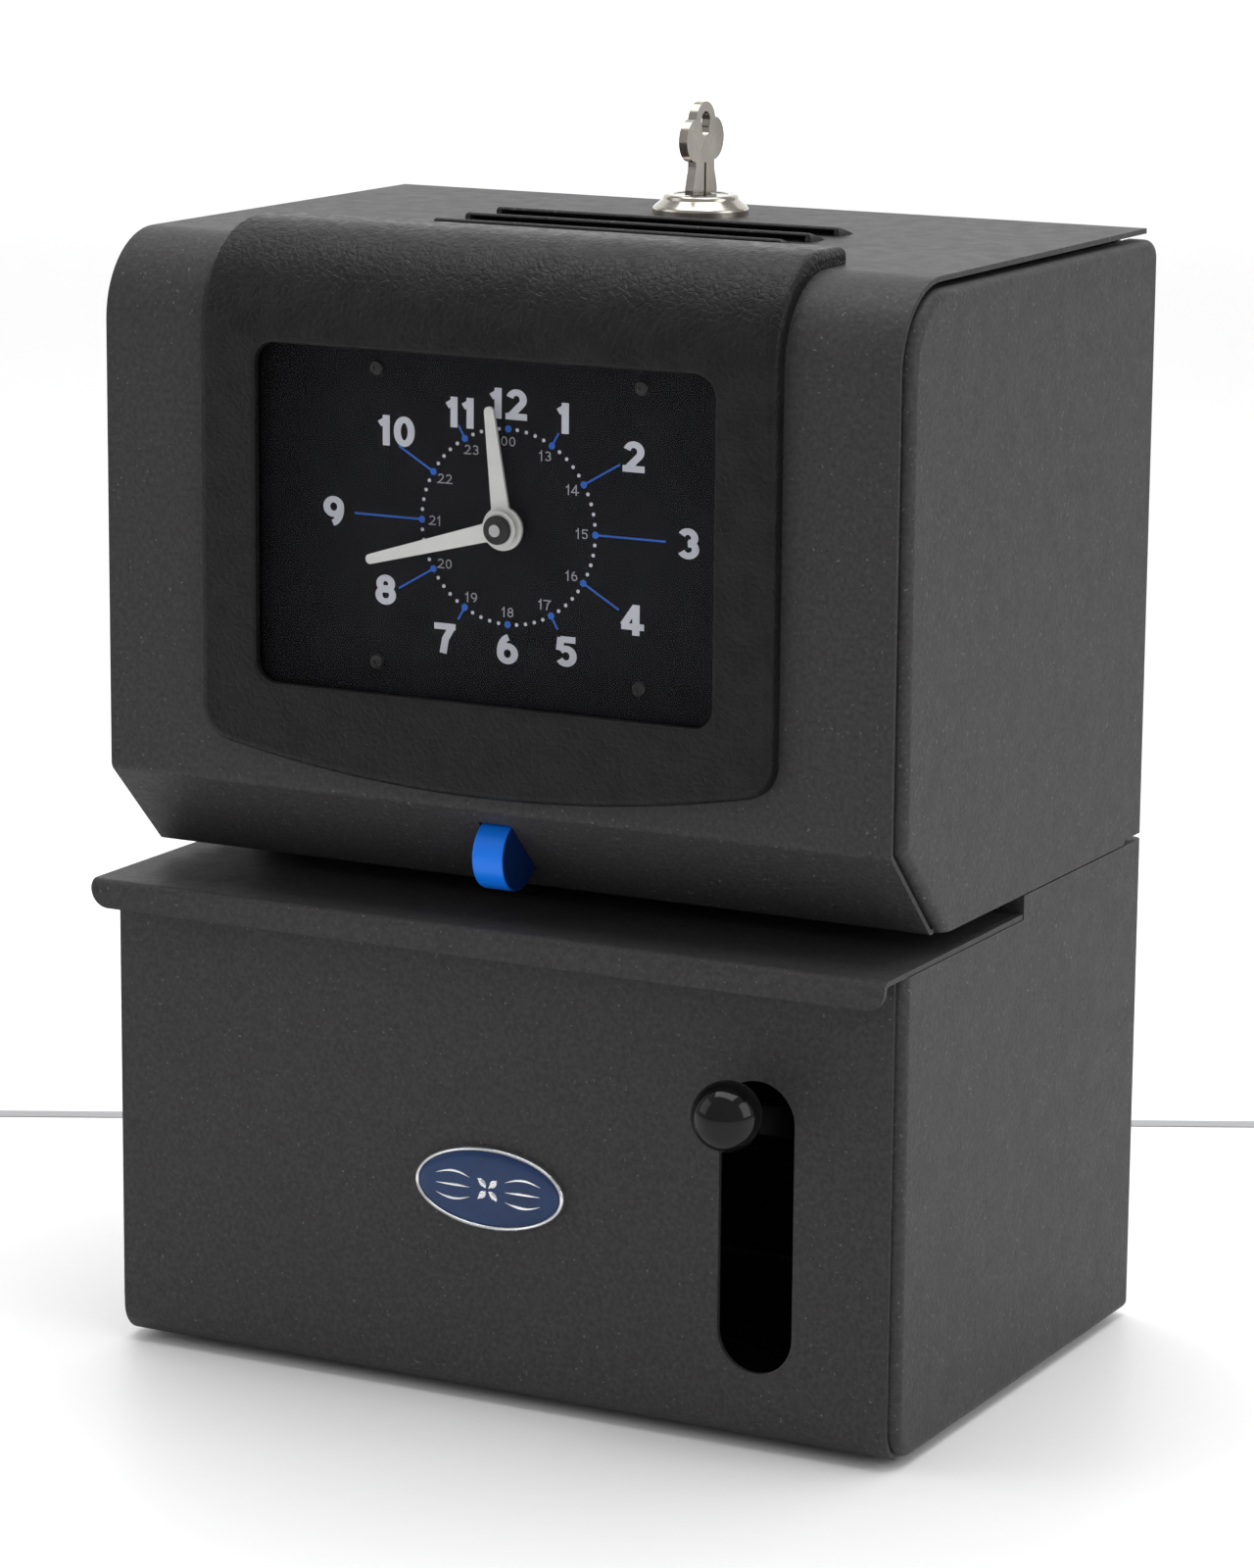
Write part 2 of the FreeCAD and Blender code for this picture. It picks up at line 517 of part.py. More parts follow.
def base_parts():
    half = WRAP_HALF
    path = [(REAR_PANEL_Y + 1.5, 0), (0, 0), (0, SHELF_TOP_Z - SHEET - 0.1)]
    shell = folded_sheet(path[::-1], [0, BASE_BEND_R, 0], SHEET, -half, half)
    x0, x1 = SLOT_X - SLOT_WIDTH / 2, SLOT_X + SLOT_WIDTH / 2
    slot = prism([(x0, SLOT_LOW_Z), (x1, SLOT_LOW_Z), (x1, SLOT_HIGH_Z), (x0, SLOT_HIGH_Z)],
                 SLOT_WIDTH / 2 - 0.01, "XZ", -1, 3)
    ends = [box(s * 100.0 - 4.0, s * 100.0 + 4.0, BASE_BEND_R - 3, 140, -1, 3) for s in (-1, 1)]
    shell = shell.cut(Part.makeCompound([slot] + ends))
    save("base_shell", shell)

    shelf_path = [(-LIP_REACH, LIP_BOTTOM_Z), (-LIP_REACH, SHELF_TOP_Z), (THROAT_DEPTH - 0.2, SHELF_TOP_Z)]
    shelf = folded_sheet(shelf_path[::-1], [0, 2.2, 0], SHEET, -SHELF_HALF, SHELF_HALF)
    cuts = [box(-7.0, 7.0, 27.0, 52.0, SHELF_TOP_Z - 3, SHELF_TOP_Z + 1)]
    corner_z = LIP_BOTTOM_Z + LIP_CORNER_R
    for side in (-1, 1):
        corner_x = side * (SHELF_HALF - LIP_CORNER_R)
        low_x, high_x = sorted((corner_x, corner_x + side * 9.0))
        corner = box(low_x, high_x, -LIP_REACH - 1, -LIP_REACH + 3, corner_z - 9.0, corner_z)
        cuts.append(corner.cut(rod_y(LIP_CORNER_R, corner_x, corner_z, -LIP_REACH - 2, -LIP_REACH + 4)))
    save("card_shelf", shelf.cut(Part.makeCompound(cuts)))
    save("card_stop", box(-INNER_HALF, INNER_HALF, THROAT_DEPTH + 0.1, THROAT_DEPTH + 1.6,
                          SHELF_TOP_Z - 8, DECK_Z - 0.1))

    rear, top, front = DEPTH, SHELF_TOP_Z - SHEET - 0.1, 1.6
    seam = THROAT_TOP_Z - SEAM_GAP
    points = [(rear, 0.3), (rear, seam), (THROAT_DEPTH, seam), (THROAT_DEPTH, top), (front, top),
              (front, 0.3)]
    radii = [2.0, 1.5, 0.6, 0.4, 0.6, BASE_BEND_R + 1.0]
    outer = [(rear, 0.3), (rear, seam + 9.0), (front, seam + 9.0), (front, 0.3)]
    outer_radii = [2.0, 4.0, 4.0, BASE_BEND_R + 1.0]
    spare = [(-20, top), (THROAT_DEPTH, top), (THROAT_DEPTH, seam), (rear + 5, seam),
             (rear + 5, 150), (-20, 150)]
    for side, name in ((1, "right"), (-1, "left")):
        save("base_cheek_" + name, cheek(points, radii, outer, outer_radii, spare, side))

    feet = []
    for x in (-82, 82):
        for y in (18, 115):
            foot = rod_z(8.0, x, y, -FOOT_HEIGHT, 0)
            rim = [e for e in foot.Edges if abs(e.CenterOfMass.z + FOOT_HEIGHT) < 1e-6]
            feet.append(foot.makeFillet(0.5, rim[:1]))
    save("rubber_feet", *feet)
    save("badge", badge_solid())


def badge_solid():
    """An oval plate with a raised rim round a recessed field."""
    wires = []
    for inset in (0.0, 1.1):
        ellipse = Part.Ellipse(vec(0, 0, 0), BADGE_W / 2 - inset, BADGE_H / 2 - inset)
        wires.append(Part.Wire(ellipse.toShape()))
    plate = Part.Face(wires[0]).extrude(vec(0, 0, 1.9))
    rim = [e for e in plate.Edges if e.CenterOfMass.z > 1.8 and e.Length > 20]
    plate = plate.makeFillet(0.6, rim[:1])
    plate = plate.cut(Part.Face(wires[1]).extrude(vec(0, 0, 1)).translated(vec(0, 0, 1.3)))
    plate.rotate(vec(0, 0, 0), vec(1, 0, 0), 90)
    plate.translate(vec(0, -0.02, BADGE_Z))
    return plate


def rear_parts():
    y0 = REAR_PANEL_Y
    low, high = SHEET + 0.05, REAR_PANEL_TOP_Z
    panel = prism([(-INNER_HALF, low), (INNER_HALF, low), (INNER_HALF, high), (-INNER_HALF, high)],
                  [0, 0, 3, 3], "XZ", y0, y0 + 1.5)
    holes = [rod_y(WALL_HOLE_R, s * WALL_X / 2, z, y0 - 1, y0 + 3) for s in (-1, 1) for z in WALL_ZS]
    holes += [rod_y(1.6, s * CASE_SCREW_X, z, y0 - 1, y0 + 3) for s in (-1, 1) for z in CASE_SCREW_ZS]
    holes.append(rod_y(6.05, GLAND_X, 22, y0 - 1, y0 + 3))
    save("rear_panel", panel.cut(Part.makeCompound(holes)))
    gland = rod_y(6.0, GLAND_X, 22, y0 - 3, y0 + 1.5).fuse(rod_y(8.0, GLAND_X, 22, y0 + 1.5, y0 + 3.5))
    gland = gland.fuse(rod_y(7.6, GLAND_X, 22, y0 - 3, y0 - 1.0))
    gland = gland.cut(rod_y(3.6, GLAND_X, 22, y0 - 4, y0 + 5))
    save("cord_gland", gland.removeSplitter())
    screws = [screw(s * CASE_SCREW_X, y0 + 1.5, z, vec(0, 1, 0), 2.9, 1.8, 1.5, 3.2)
              for s in (-1, 1) for z in CASE_SCREW_ZS]
    save("case_screws", *screws)

    front = LOCK_Y - 7.0
    x = LOCK_X
    arm = box(x + 24.0, x + 25.5, front, y0, 239.0, 250.0)
    lip = box(x + 12.0, x + 25.5, front, front + 1.5, 239.0, 250.0)
    ear = box(x + 24.0, x + 38.0, y0 - 1.5, y0, 239.0, 250.0)
    save("lock_keeper", join([arm, lip, ear]))


def frame_parts():
    aperture = box(-9.0, 9.0, 26.0, 54.0, DECK_Z - 1, DECK_Z + 3)
    deck = box(-INNER_HALF, INNER_HALF, DECK_FRONT_Y, REAR_PANEL_Y - 0.1, DECK_Z, DECK_Z + PLATE_T)
    save("deck_plate", deck.cut(aperture))
    brackets = []
    low, high = SHEET + 0.05, DECK_Z - 0.05
    front, rear = 68.0, REAR_PANEL_Y - 0.1
    for side in (-1, 1):
        wall_x = sorted((side * 86.0, side * 87.5))
        inner_x = sorted((side * 82.0, side * 87.5))
        flange_x = sorted((side * 80.0, side * 87.5))
        wall = box(*wall_x, front, rear, low, high)
        bottom = box(*inner_x, front, rear, low, low + 1.5)
        roof = box(*inner_x, front, rear, high - 1.5, high)
        back = box(*flange_x, rear - 1.5, rear, low, high)
        holes = [rod_y(1.6, s * CASE_SCREW_X, z, rear - 5, rear + 1) for s in (-1, 1) for z in CASE_SCREW_ZS]
        brackets.append(join([wall, bottom, roof, back]).cut(Part.makeCompound(holes)))
    save("frame_brackets", *brackets)


def lever_parts():
    """Pull lever, its cross shaft with the crank, the brackets that carry it, and its spring."""
    y, z = PIVOT_Y, PIVOT_Z
    brackets = []
    for x in (-16.0, 79.0):
        wall = prism([(y - 16, SHEET + 0.05), (y + 16, SHEET + 0.05), (y + 7, z + 9), (y - 7, z + 9)],
                     [0, 0, 6, 6], "YZ", x, x + 2.0)
        foot = box(x - 8, x + 2, y - 16, y + 16, SHEET + 0.05, SHEET + 2.05)
        brackets.append(join([wall, foot]).cut(rod_x(4.0 + RUN, y, z, x - 2, x + 5)))
    save("lever_brackets", *brackets)

    shaft = rod_x(4.0, y, z, -20.0, 84.0)
    crank = prism([(y - 11, z - 3), (y - 5, z - 3.2), (y, z - 6.5), (y + 6.5, z), (y, z + 6.5),
                   (y - 11, z + 3)], [0, 1, 3, 3, 3, 0], "YZ", -4.0, 4.0)
    crank = crank.fuse(rod_x(3.0, y - 11, z, -4.0, 4.0))
    collars = [rod_x(7.0, y, z, x, x + 4.0) for x in (-13.4, 74.4)]
    save("lever_shaft", join([shaft, crank] + collars))

    reach = hypot(y - KNOB_Y, KNOB_Z - z)
    tilt = degrees(atan2(KNOB_Z - z, y - KNOB_Y))
    tip = y - reach + KNOB_R + 0.2
    arm = prism([(tip, z - 3.0), (y - 20, z - 4.5), (y, z - 8.5), (y + 8.5, z), (y, z + 8.5),
                 (y - 20, z + 4.5), (tip, z + 3.0)],
                [0, 10, 8, 8, 8, 10, 0], "YZ", SLOT_X - 1.5, SLOT_X + 1.5)
    hub = rod_x(8.0, y, z, SLOT_X - 5, SLOT_X + 5)
    stud = Part.makeCylinder(1.9, 9.5, vec(SLOT_X, y - reach + KNOB_R + 1.5, z), vec(0, -1, 0))
    arm = join([arm, hub, stud]).cut(rod_x(4.0, y, z, SLOT_X - 9, SLOT_X + 9))
    arm.rotate(vec(0, y, z), vec(1, 0, 0), -tilt)
    save("lever_arm", arm)
    knob = Part.makeSphere(KNOB_R, vec(SLOT_X, KNOB_Y, KNOB_Z))
    inward = vec(0, cos(radians(tilt)), -sin(radians(tilt)))
    bore = Part.makeCylinder(1.95, 9.5, vec(SLOT_X, KNOB_Y, KNOB_Z), inward)
    save("ball_knob", knob.cut(bore))

    coils = [Part.makeTorus(6.2, 0.8, vec(8.0 + 1.55 * i, y, z), vec(1, 0, 0)) for i in range(9)]
    leg = Part.makeCylinder(0.7, 47.0, vec(8.0, y + 6.2, z + 0.4), vec(0, 0, -1))
    save("return_spring", join(coils + [leg]))


def hammer_parts():
    """Hammer with its rubber pad, the bracket that guides it, and the rocker that lifts it."""
    wall = box(-18, 18, 53.5, 55.0, SHEET + 0.05, 104.0)
    foot = box(-18, 18, 53.5, 66.0, SHEET + 0.05, SHEET + 1.55)
    tabs = [box(-18, 18, 32.0, 54.0, z, z + 1.5) for z in (64.0, 98.0)]
    ears = [box(x, x + 2.0, 54.9, 70.0, ROCKER_Z - 8, ROCKER_Z + 8) for x in (-9.0, 7.0)]
    bracket = join([wall, foot] + tabs + ears)
    stem_hole = box(-4.0 - RUN, 4.0 + RUN, 36.0 - RUN, 43.0 + RUN, 60, 102)
    window = box(-6.9, 6.9, 50, 58, ROCKER_Z - 11, ROCKER_Z + 15)
    pin_hole = rod_x(2.0, ROCKER_Y, ROCKER_Z, -12, 12)
    save("hammer_bracket", bracket.cut(Part.makeCompound([stem_hole, window, pin_hole])))
    save("rocker_pin", rod_x(2.0, ROCKER_Y, ROCKER_Z, -11.5, 11.5))

    heel_z = ROCKER_Z + 2.2
    stem = box(-4.0, 4.0, 36.0, 43.0, heel_z, 106.0)
    heel = box(-4.0, 4.0, 36.0, 49.5, heel_z, heel_z + 2.2)
    head = box(-5.0, 5.0, 28.5, 50.5, 105.5, 110.0)
    save("hammer", join([stem, heel, head]))
    save("hammer_pad", box(-5.0, 5.0, 28.5, 50.5, 110.0, SHELF_TOP_Z - 0.6))

    y, z, front = ROCKER_Y, ROCKER_Z, ROCKER_Y - 19.0
    arm = prism([(front, z - 1.8), (y, z - 4.5), (y + 15.5, z - 2.8), (y + 15.5, z + 0.5),
                 (y + 6.5, z + 0.5), (y, z + 4.5), (y - 9.0, z + 1.8), (front, z + 1.7)],
                0, "YZ", -3.0, 3.0)
    nose = rod_x(2.0, front, z, -3.0, 3.0)
    hub = rod_x(5.0, y, z, -6.6, 6.6)
    save("hammer_rocker", join([arm, nose, hub]).cut(rod_x(2.0 + RUN, y, z, -12, 12)))


def movement_frame():
    """Front and rear plates, pillars, dial and their screws."""
    front, rear = FRONT_PLATE_Y, REAR_PLATE_Y
    shafts = [(0.0, TYPE_Z, TYPE_SHAFT_R), (A_X, A_Z, SHAFT_R), (B_X, B_Z, SHAFT_R),
              (0.0, IDLER_Z, SHAFT_R), (MOTOR_X, MOTOR_Z, SHAFT_R), (0.0, DIAL_Z, ARBOR_R)]
    pillars = [(-38.0, 227.0), (38.0, 227.0), (-35.0, 146.0), (35.0, 146.0)]
    front_face = [(-44, 162), (-34, 129), (34, 129), (44, 162), (44, 242), (-44, 242)]
    deck_top = DECK_Z + PLATE_T
    rear_face = [(-80, deck_top), (80, deck_top), (80, 160), (44, 178), (44, 242), (-44, 242),
                 (-44, 178), (-80, 160)]
    front_plate = prism(front_face, 5, "XZ", front, front + PLATE_T)
    rear_plate = prism(rear_face, [0, 0, 8, 5, 5, 5, 5, 8], "XZ", rear, rear + PLATE_T)
    holes = [rod_y(r + RUN, x, z, front - 1, rear + 5) for x, z, r in shafts]
    holes.append(rod_y(5.0, MOTOR_X, MOTOR_Z, rear - 1, rear + 5))
    holes += [rod_y(1.5, x, z, front - 1, rear + 5) for x, z in pillars]
    stud = rod_y(SHAFT_R, MOTION_X, MOTION_Z, DIAL_Y + PLATE_T + 0.1, front + PLATE_T)
    spools = [rod_y(2.5, s * SPOOL_X, SPOOL_Z, SPOOL_Y[0] - 1.5, rear + PLATE_T) for s in (-1, 1)]
    save("movement_front_plate", join([front_plate.cut(Part.makeCompound(holes)), stud]))
    save("movement_rear_plate", join([rear_plate.cut(Part.makeCompound(holes))] + spools))
    back, ahead = vec(0, 1, 0), vec(0, -1, 0)
    save("plate_screws", *([screw(x, rear + PLATE_T, z, back, 2.6, 1.6, 1.2, 7.0) for x, z in pillars]
                           + [screw(x, front, z, ahead, 2.6, 1.6, 1.2, 7.0) for x, z in pillars]))

    dial = prism([(-69, 157.5), (69, 157.5), (69, 243.6), (-69, 243.6)], 2, "XZ", DIAL_Y, DIAL_Y + PLATE_T)
    centres = [(sx * DIAL_SCREW, DIAL_Z + sz * DIAL_SCREW) for sx in (-1, 1) for sz in (-1, 1)]
    holes = [rod_y(1.2, x, z, DIAL_Y - 1, front + 5) for x, z in centres]
    dial = dial.cut(Part.makeCompound(holes + [rod_y(4.2, 0, DIAL_Z, DIAL_Y - 1, DIAL_Y + 4)]))
    save("dial_plate", dial)
    posts = [sleeve(2.6, 1.2, x, z, DIAL_Y + PLATE_T, front) for x, z in centres]
    posts += [sleeve(3.0, 1.2, x, z, front + PLATE_T, rear) for x, z in pillars]
    save("movement_pillars", *posts)
    save("dial_screws", *[screw(x, DIAL_Y, z, ahead, 1.7, 1.0, 1.2, 5.5) for x, z in centres])


def clock_train():
    y0, y1 = TRAIN_Y
    centre_phase = 90.0
    idler_phase = mesh_phase(centre_phase, CENTRE_TEETH, IDLER_TEETH, -90.0)
    motor_phase = mesh_phase(idler_phase, IDLER_TEETH, MOTOR_TEETH, MOTOR_ANGLE)
    rear = REAR_PLATE_Y + PLATE_T
    front = FRONT_PLATE_Y

    knob = rod_y(7.0, 0, DIAL_Z, rear + 1.0, rear + 8.0)
    ribs = [rod_y(0.7, *polar(0, DIAL_Z, 7.0, 20 * i), rear + 1.0, rear + 8.0) for i in range(18)]
    arbor = join([rod_y(ARBOR_R, 0, DIAL_Z, 0.2, rear + 2.0), knob] + ribs)
    wheel = gear(CENTRE_TEETH, TRAIN_M, 0, DIAL_Z, y0, y1, centre_phase, ARBOR_R, 5)
    save("minute_arbor", arbor)
    save("centre_wheel", join([wheel, sleeve(3.2, ARBOR_R, 0, DIAL_Z, y1 - 0.1, y1 + 3.0)]))

    idler = gear(IDLER_TEETH, TRAIN_M, 0, IDLER_Z, y0, y1, idler_phase, 0, 0)
    holes = [rod_y(4.2, *polar(0, IDLER_Z, 12.4, 60 * i + 30), y0 - 1, y1 + 1) for i in range(6)]
    shaft = rod_y(SHAFT_R, 0, IDLER_Z, front - 0.5, rear - 0.2)
    hub = rod_y(3.2, 0, IDLER_Z, y0, y1 + 3.0)
    save("idler_wheel", join([idler.cut(Part.makeCompound(holes)), hub, shaft]))

    pinion = gear(MOTOR_TEETH, TRAIN_M, MOTOR_X, MOTOR_Z, y0 - 0.5, y1 + 0.5, motor_phase, 0)
    save("motor_pinion", join([pinion, rod_y(SHAFT_R, MOTOR_X, MOTOR_Z, front - 0.5, rear - 0.1)]))
    can = rod_y(20.0, MOTOR_X, MOTOR_Z, rear + 0.1, rear + 20.0)
    can = can.makeFillet(2.0, [e for e in can.Edges if abs(e.CenterOfMass.y - rear - 20.0) < 1e-6][:1])
    ears = [polar(MOTOR_X, MOTOR_Z, 24.5, angle) for angle in (20, 160, 200, 340)]
    flange = prism(ears, 3, "XZ", rear + 0.1, rear + 1.3)
    save("drive_motor", join([can, flange]))

    cannon_phase = 90.0
    motion_phase = mesh_phase(cannon_phase, CANNON_TEETH, MOTION_TEETH, MOTION_ANGLE)
    hour_phase = mesh_phase(0.0, MOTION_PINION_TEETH, HOUR_TEETH, MOTION_ANGLE + 180.0)
    y0, y1 = CANNON_Y
    cannon = gear(CANNON_TEETH, MOTION_M, 0, DIAL_Z, y0, y1, cannon_phase, ARBOR_R)
    save("cannon_pinion", join([cannon, sleeve(2.2, ARBOR_R, 0, DIAL_Z, 2.0, y1)]))
    motion = gear(MOTION_TEETH, MOTION_M, MOTION_X, MOTION_Z, y0, y1, motion_phase, SHAFT_R + RUN, 5)
    small = gear(MOTION_PINION_TEETH, HOUR_M, MOTION_X, MOTION_Z, HOUR_WHEEL_Y[0], y0, 0.0, SHAFT_R + RUN)
    save("motion_wheel", join([motion, small]))
    hour = gear(HOUR_TEETH, HOUR_M, 0, DIAL_Z, *HOUR_WHEEL_Y, hour_phase, 2.2 + RUN, 5)
    save("hour_wheel", join([hour, sleeve(3.3, 2.2 + RUN, 0, DIAL_Z, 3.6, HOUR_WHEEL_Y[1])]))
    hand_parts()


def sleeve(outer, inner, x, z, y0, y1):
    return rod_y(outer, x, z, y0, y1).cut(rod_y(inner, x, z, y0 - 1, y1 + 1))


def hand_parts():
    """Tapered hands with round tips. Angles are clockwise from twelve, seen from the front."""
    minute = hand(35.7, 1.15, 2.1, MINUTE_ANGLE, 2.1, 2.9, 4.2, 2.2)
    save("minute_hand", minute)
    hour = hand(27.5, 1.2, 2.2, HOUR_ANGLE, 3.8, 4.6, 5.0, 3.3)
    save("hour_hand", hour)
    nut = rod_y(3.3, 0, DIAL_Z, 0.7, 1.95)
    nut = nut.makeFillet(0.5, [e for e in nut.Edges if abs(e.CenterOfMass.y - 0.7) < 1e-6][:1])
    save("hand_nut", nut.cut(rod_y(ARBOR_R, 0, DIAL_Z, 0, 3)))


def hand(length, tip_r, root_half, clockwise, y0, y1, boss_r, bore):
    tip = length - tip_r
    blade = prism([(-root_half, 0), (root_half, 0), (tip_r, tip), (-tip_r, tip)], 0, "XZ", y0, y1)
    shape = join([blade, rod_y(tip_r, 0, tip, y0, y1), rod_y(boss_r, 0, 0, y0, y1)])
    shape = shape.cut(rod_y(bore, 0, 0, y0 - 1, y1 + 1))
    shape.rotate(vec(0, 0, 0), vec(0, 1, 0), clockwise)
    shape.translate(vec(0, 0, DIAL_Z))
    return shape


def type_wheel(y0, y1, faces, bore):
    """A printing wheel: a drum with one raised type block for each face."""
    low, high = TYPE_R - 1.0, TYPE_R - 0.1
    half = degrees(1.1 / TYPE_R)
    corners = []
    for i in range(faces):
        middle = 90.0 + 360.0 * i / faces
        for radius, angle in ((low, -half), (high, -half), (high, half), (low, half)):
            corners.append((radius, middle + angle))
        for j in range(1, 3):
            corners.append((low, middle + half + (360.0 / faces - 2 * half) * j / 3.0))
    rim = [vec(r * cos(radians(a)), y0, TYPE_Z + r * sin(radians(a))) for r, a in corners]
    wheel = Part.Face(Part.makePolygon(rim + rim[:1])).extrude(vec(0, y1 - y0, 0))
    return wheel.cut(rod_y(bore, 0, TYPE_Z, y0 - 1, y1 + 1)) if bore else wheel


def printing_train():
    front, rear = FRONT_PLATE_Y, REAR_PLATE_Y + PLATE_T
    idler_phase = mesh_phase(90.0, CENTRE_TEETH, IDLER_TEETH, -90.0)
    type_phase = mesh_phase(idler_phase, IDLER_TEETH, CENTRE_TEETH, -90.0)
    drive = gear(CENTRE_TEETH, TRAIN_M, 0, TYPE_Z, *TRAIN_Y, type_phase, 0)
    first_phase = 90.0
    first = gear(A_FIRST, A_FIRST_M, 0, TYPE_Z, MINUTE_TYPE_Y[1], MINUTE_PINION_Y[1], first_phase, 0)
    shaft = rod_y(TYPE_SHAFT_R, 0, TYPE_Z, front - 0.5, rear - 0.2)
    save("type_shaft", join([drive, first, shaft]))
    save("minute_type_wheel", type_wheel(*MINUTE_TYPE_Y, 12, TYPE_SHAFT_R))

    second_phase = mesh_phase(first_phase, A_FIRST, A_SECOND, A_ANGLE)
    fourth_phase = mesh_phase(0.0, A_THIRD, A_FOURTH, A_ANGLE + 180.0)
    wheel = gear(A_SECOND, A_FIRST_M, A_X, A_Z, *MINUTE_PINION_Y, second_phase, 0)
    pinion = gear(A_THIRD, A_SECOND_M, A_X, A_Z, *HOUR_GEAR_Y, 0.0, 0)
    save("hour_reduction", join([wheel, pinion, rod_y(SHAFT_R, A_X, A_Z, front - 0.5, rear - 0.2)]))

    bore = TYPE_SHAFT_R + RUN
    hour_gear = gear(A_FOURTH, A_SECOND_M, 0, TYPE_Z, *HOUR_GEAR_Y, fourth_phase, 0)
    hub = rod_y(3.2, 0, TYPE_Z, HOUR_PINION_Y[0] + 0.3, HOUR_GEAR_Y[1] - 0.3)
    hour_pinion = gear(B_FIRST, B_FIRST_M, 0, TYPE_Z, *HOUR_PINION_Y, 90.0, 0)
    hour_wheel = join([type_wheel(*HOUR_TYPE_Y, 24, 0), hub, hour_gear, hour_pinion])
    hole = rod_y(bore, 0, TYPE_Z, HOUR_PINION_Y[0] - 1, HOUR_GEAR_Y[1] + 1)
    save("hour_type_wheel", hour_wheel.cut(hole))

    second_phase = mesh_phase(90.0, B_FIRST, B_SECOND, B_ANGLE)
    fourth_phase = mesh_phase(0.0, B_THIRD, B_FOURTH, B_ANGLE + 180.0)
    wheel = gear(B_SECOND, B_FIRST_M, B_X, B_Z, *HOUR_PINION_Y, second_phase, 0)
    pinion = gear(B_THIRD, B_SECOND_M, B_X, B_Z, DAY_GEAR_Y[0], DAY_GEAR_Y[1], 0.0, 0)
    save("day_reduction", join([wheel, pinion, rod_y(SHAFT_R, B_X, B_Z, front - 0.5, rear - 0.2)]))
    day_gear = gear(B_FOURTH, B_SECOND_M, 0, TYPE_Z, DAY_GEAR_Y[0], DAY_TYPE_Y[0], fourth_phase, bore)
    save("day_type_wheel", join([type_wheel(*DAY_TYPE_Y, 7, bore), day_gear]))


def ribbon_parts():
    y0, y1 = SPOOL_Y
    packs = (13.0, 8.5)
    for side, pack, name in ((-1, packs[0], "left"), (1, packs[1], "right")):
        x = side * SPOOL_X
        flanges = [rod_y(17.0, x, SPOOL_Z, y, y + 1.0) for y in (y0, y1 - 1.0)]
        spool = join(flanges + [rod_y(pack, x, SPOOL_Z, y0, y1)])
        save("ribbon_spool_" + name, spool.cut(rod_y(2.5 + RUN, x, SPOOL_Z, y0 - 1, y1 + 1)))
    guides = []
    guide_z = RIBBON_Z + 0.3 + GUIDE_R
    for side in (-1, 1):
        guides.append(rod_y(GUIDE_R, side * GUIDE_X, guide_z, y0, REAR_PLATE_Y))
    save("ribbon_guides", *guides)
    save("ribbon", ribbon_solid(packs))


def ribbon_solid(packs):
    """The free run of ribbon: from one spool, round both guides and up to the other spool."""
    y0, y1 = SPOOL_Y[0] + 1.3, SPOOL_Y[1] - 1.3
    thick = 0.2
    ends = [ribbon_end(side, pack) for side, pack in zip((-1, 1), packs)]
    corners = []
    for x, z in ends:
        turn = atan2(z - RIBBON_Z, abs(x) - GUIDE_X)
        corners.append(GUIDE_X + (GUIDE_R + 0.3) * tan(turn / 2.0))
    path = [ends[0], (-corners[0], RIBBON_Z), (corners[1], RIBBON_Z), ends[1]]
    upper = offset_path(path, thick)
    radii = [0, GUIDE_R + 0.3, GUIDE_R + 0.3, 0]
    inner = [0, GUIDE_R + 0.1, GUIDE_R + 0.1, 0]
    return prism(path + upper[::-1], radii + inner, "XZ", y0, y1)


def ribbon_end(side, pack):
    """Where the ribbon stops, just outside the roll on its spool and on its tangent."""
    x, z = SPOOL_X, SPOOL_Z
    dx, dz = x - GUIDE_X, z - RIBBON_Z
    reach = hypot(dx, dz)
    turn = atan2(dz, dx) - acos(max(-1.0, min(1.0, (pack + 0.5) / reach)))
    return side * (x + (pack + 0.5) * cos(pi + turn)), z + (pack + 0.5) * sin(pi + turn)


os.makedirs("parts", exist_ok=True)
cover_parts()
bezel_parts()
pointer_part()
lock_parts()
base_parts()
rear_parts()
frame_parts()
lever_parts()
hammer_parts()
movement_frame()
clock_train()
printing_train()
ribbon_parts()
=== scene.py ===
import bpy
import bmesh
import json
from math import asin, atan2, cos, hypot, pi, radians, sin, sqrt
from mathutils import Matrix, Vector


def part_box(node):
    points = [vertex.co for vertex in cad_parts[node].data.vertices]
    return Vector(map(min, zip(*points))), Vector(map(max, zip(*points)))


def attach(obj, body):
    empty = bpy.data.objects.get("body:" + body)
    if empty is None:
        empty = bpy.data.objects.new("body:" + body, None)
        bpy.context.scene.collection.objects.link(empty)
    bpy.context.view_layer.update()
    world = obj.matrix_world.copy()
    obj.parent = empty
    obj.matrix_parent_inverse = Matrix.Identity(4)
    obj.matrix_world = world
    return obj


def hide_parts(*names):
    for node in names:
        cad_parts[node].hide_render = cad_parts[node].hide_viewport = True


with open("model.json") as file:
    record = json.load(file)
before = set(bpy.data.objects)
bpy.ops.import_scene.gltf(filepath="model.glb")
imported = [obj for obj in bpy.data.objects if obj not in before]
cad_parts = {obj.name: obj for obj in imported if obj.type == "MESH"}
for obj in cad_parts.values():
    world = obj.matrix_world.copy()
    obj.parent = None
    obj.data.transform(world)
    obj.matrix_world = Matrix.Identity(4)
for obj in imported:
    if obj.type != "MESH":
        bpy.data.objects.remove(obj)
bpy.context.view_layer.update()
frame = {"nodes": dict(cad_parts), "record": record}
nodes = frame["nodes"]

MM = 0.001

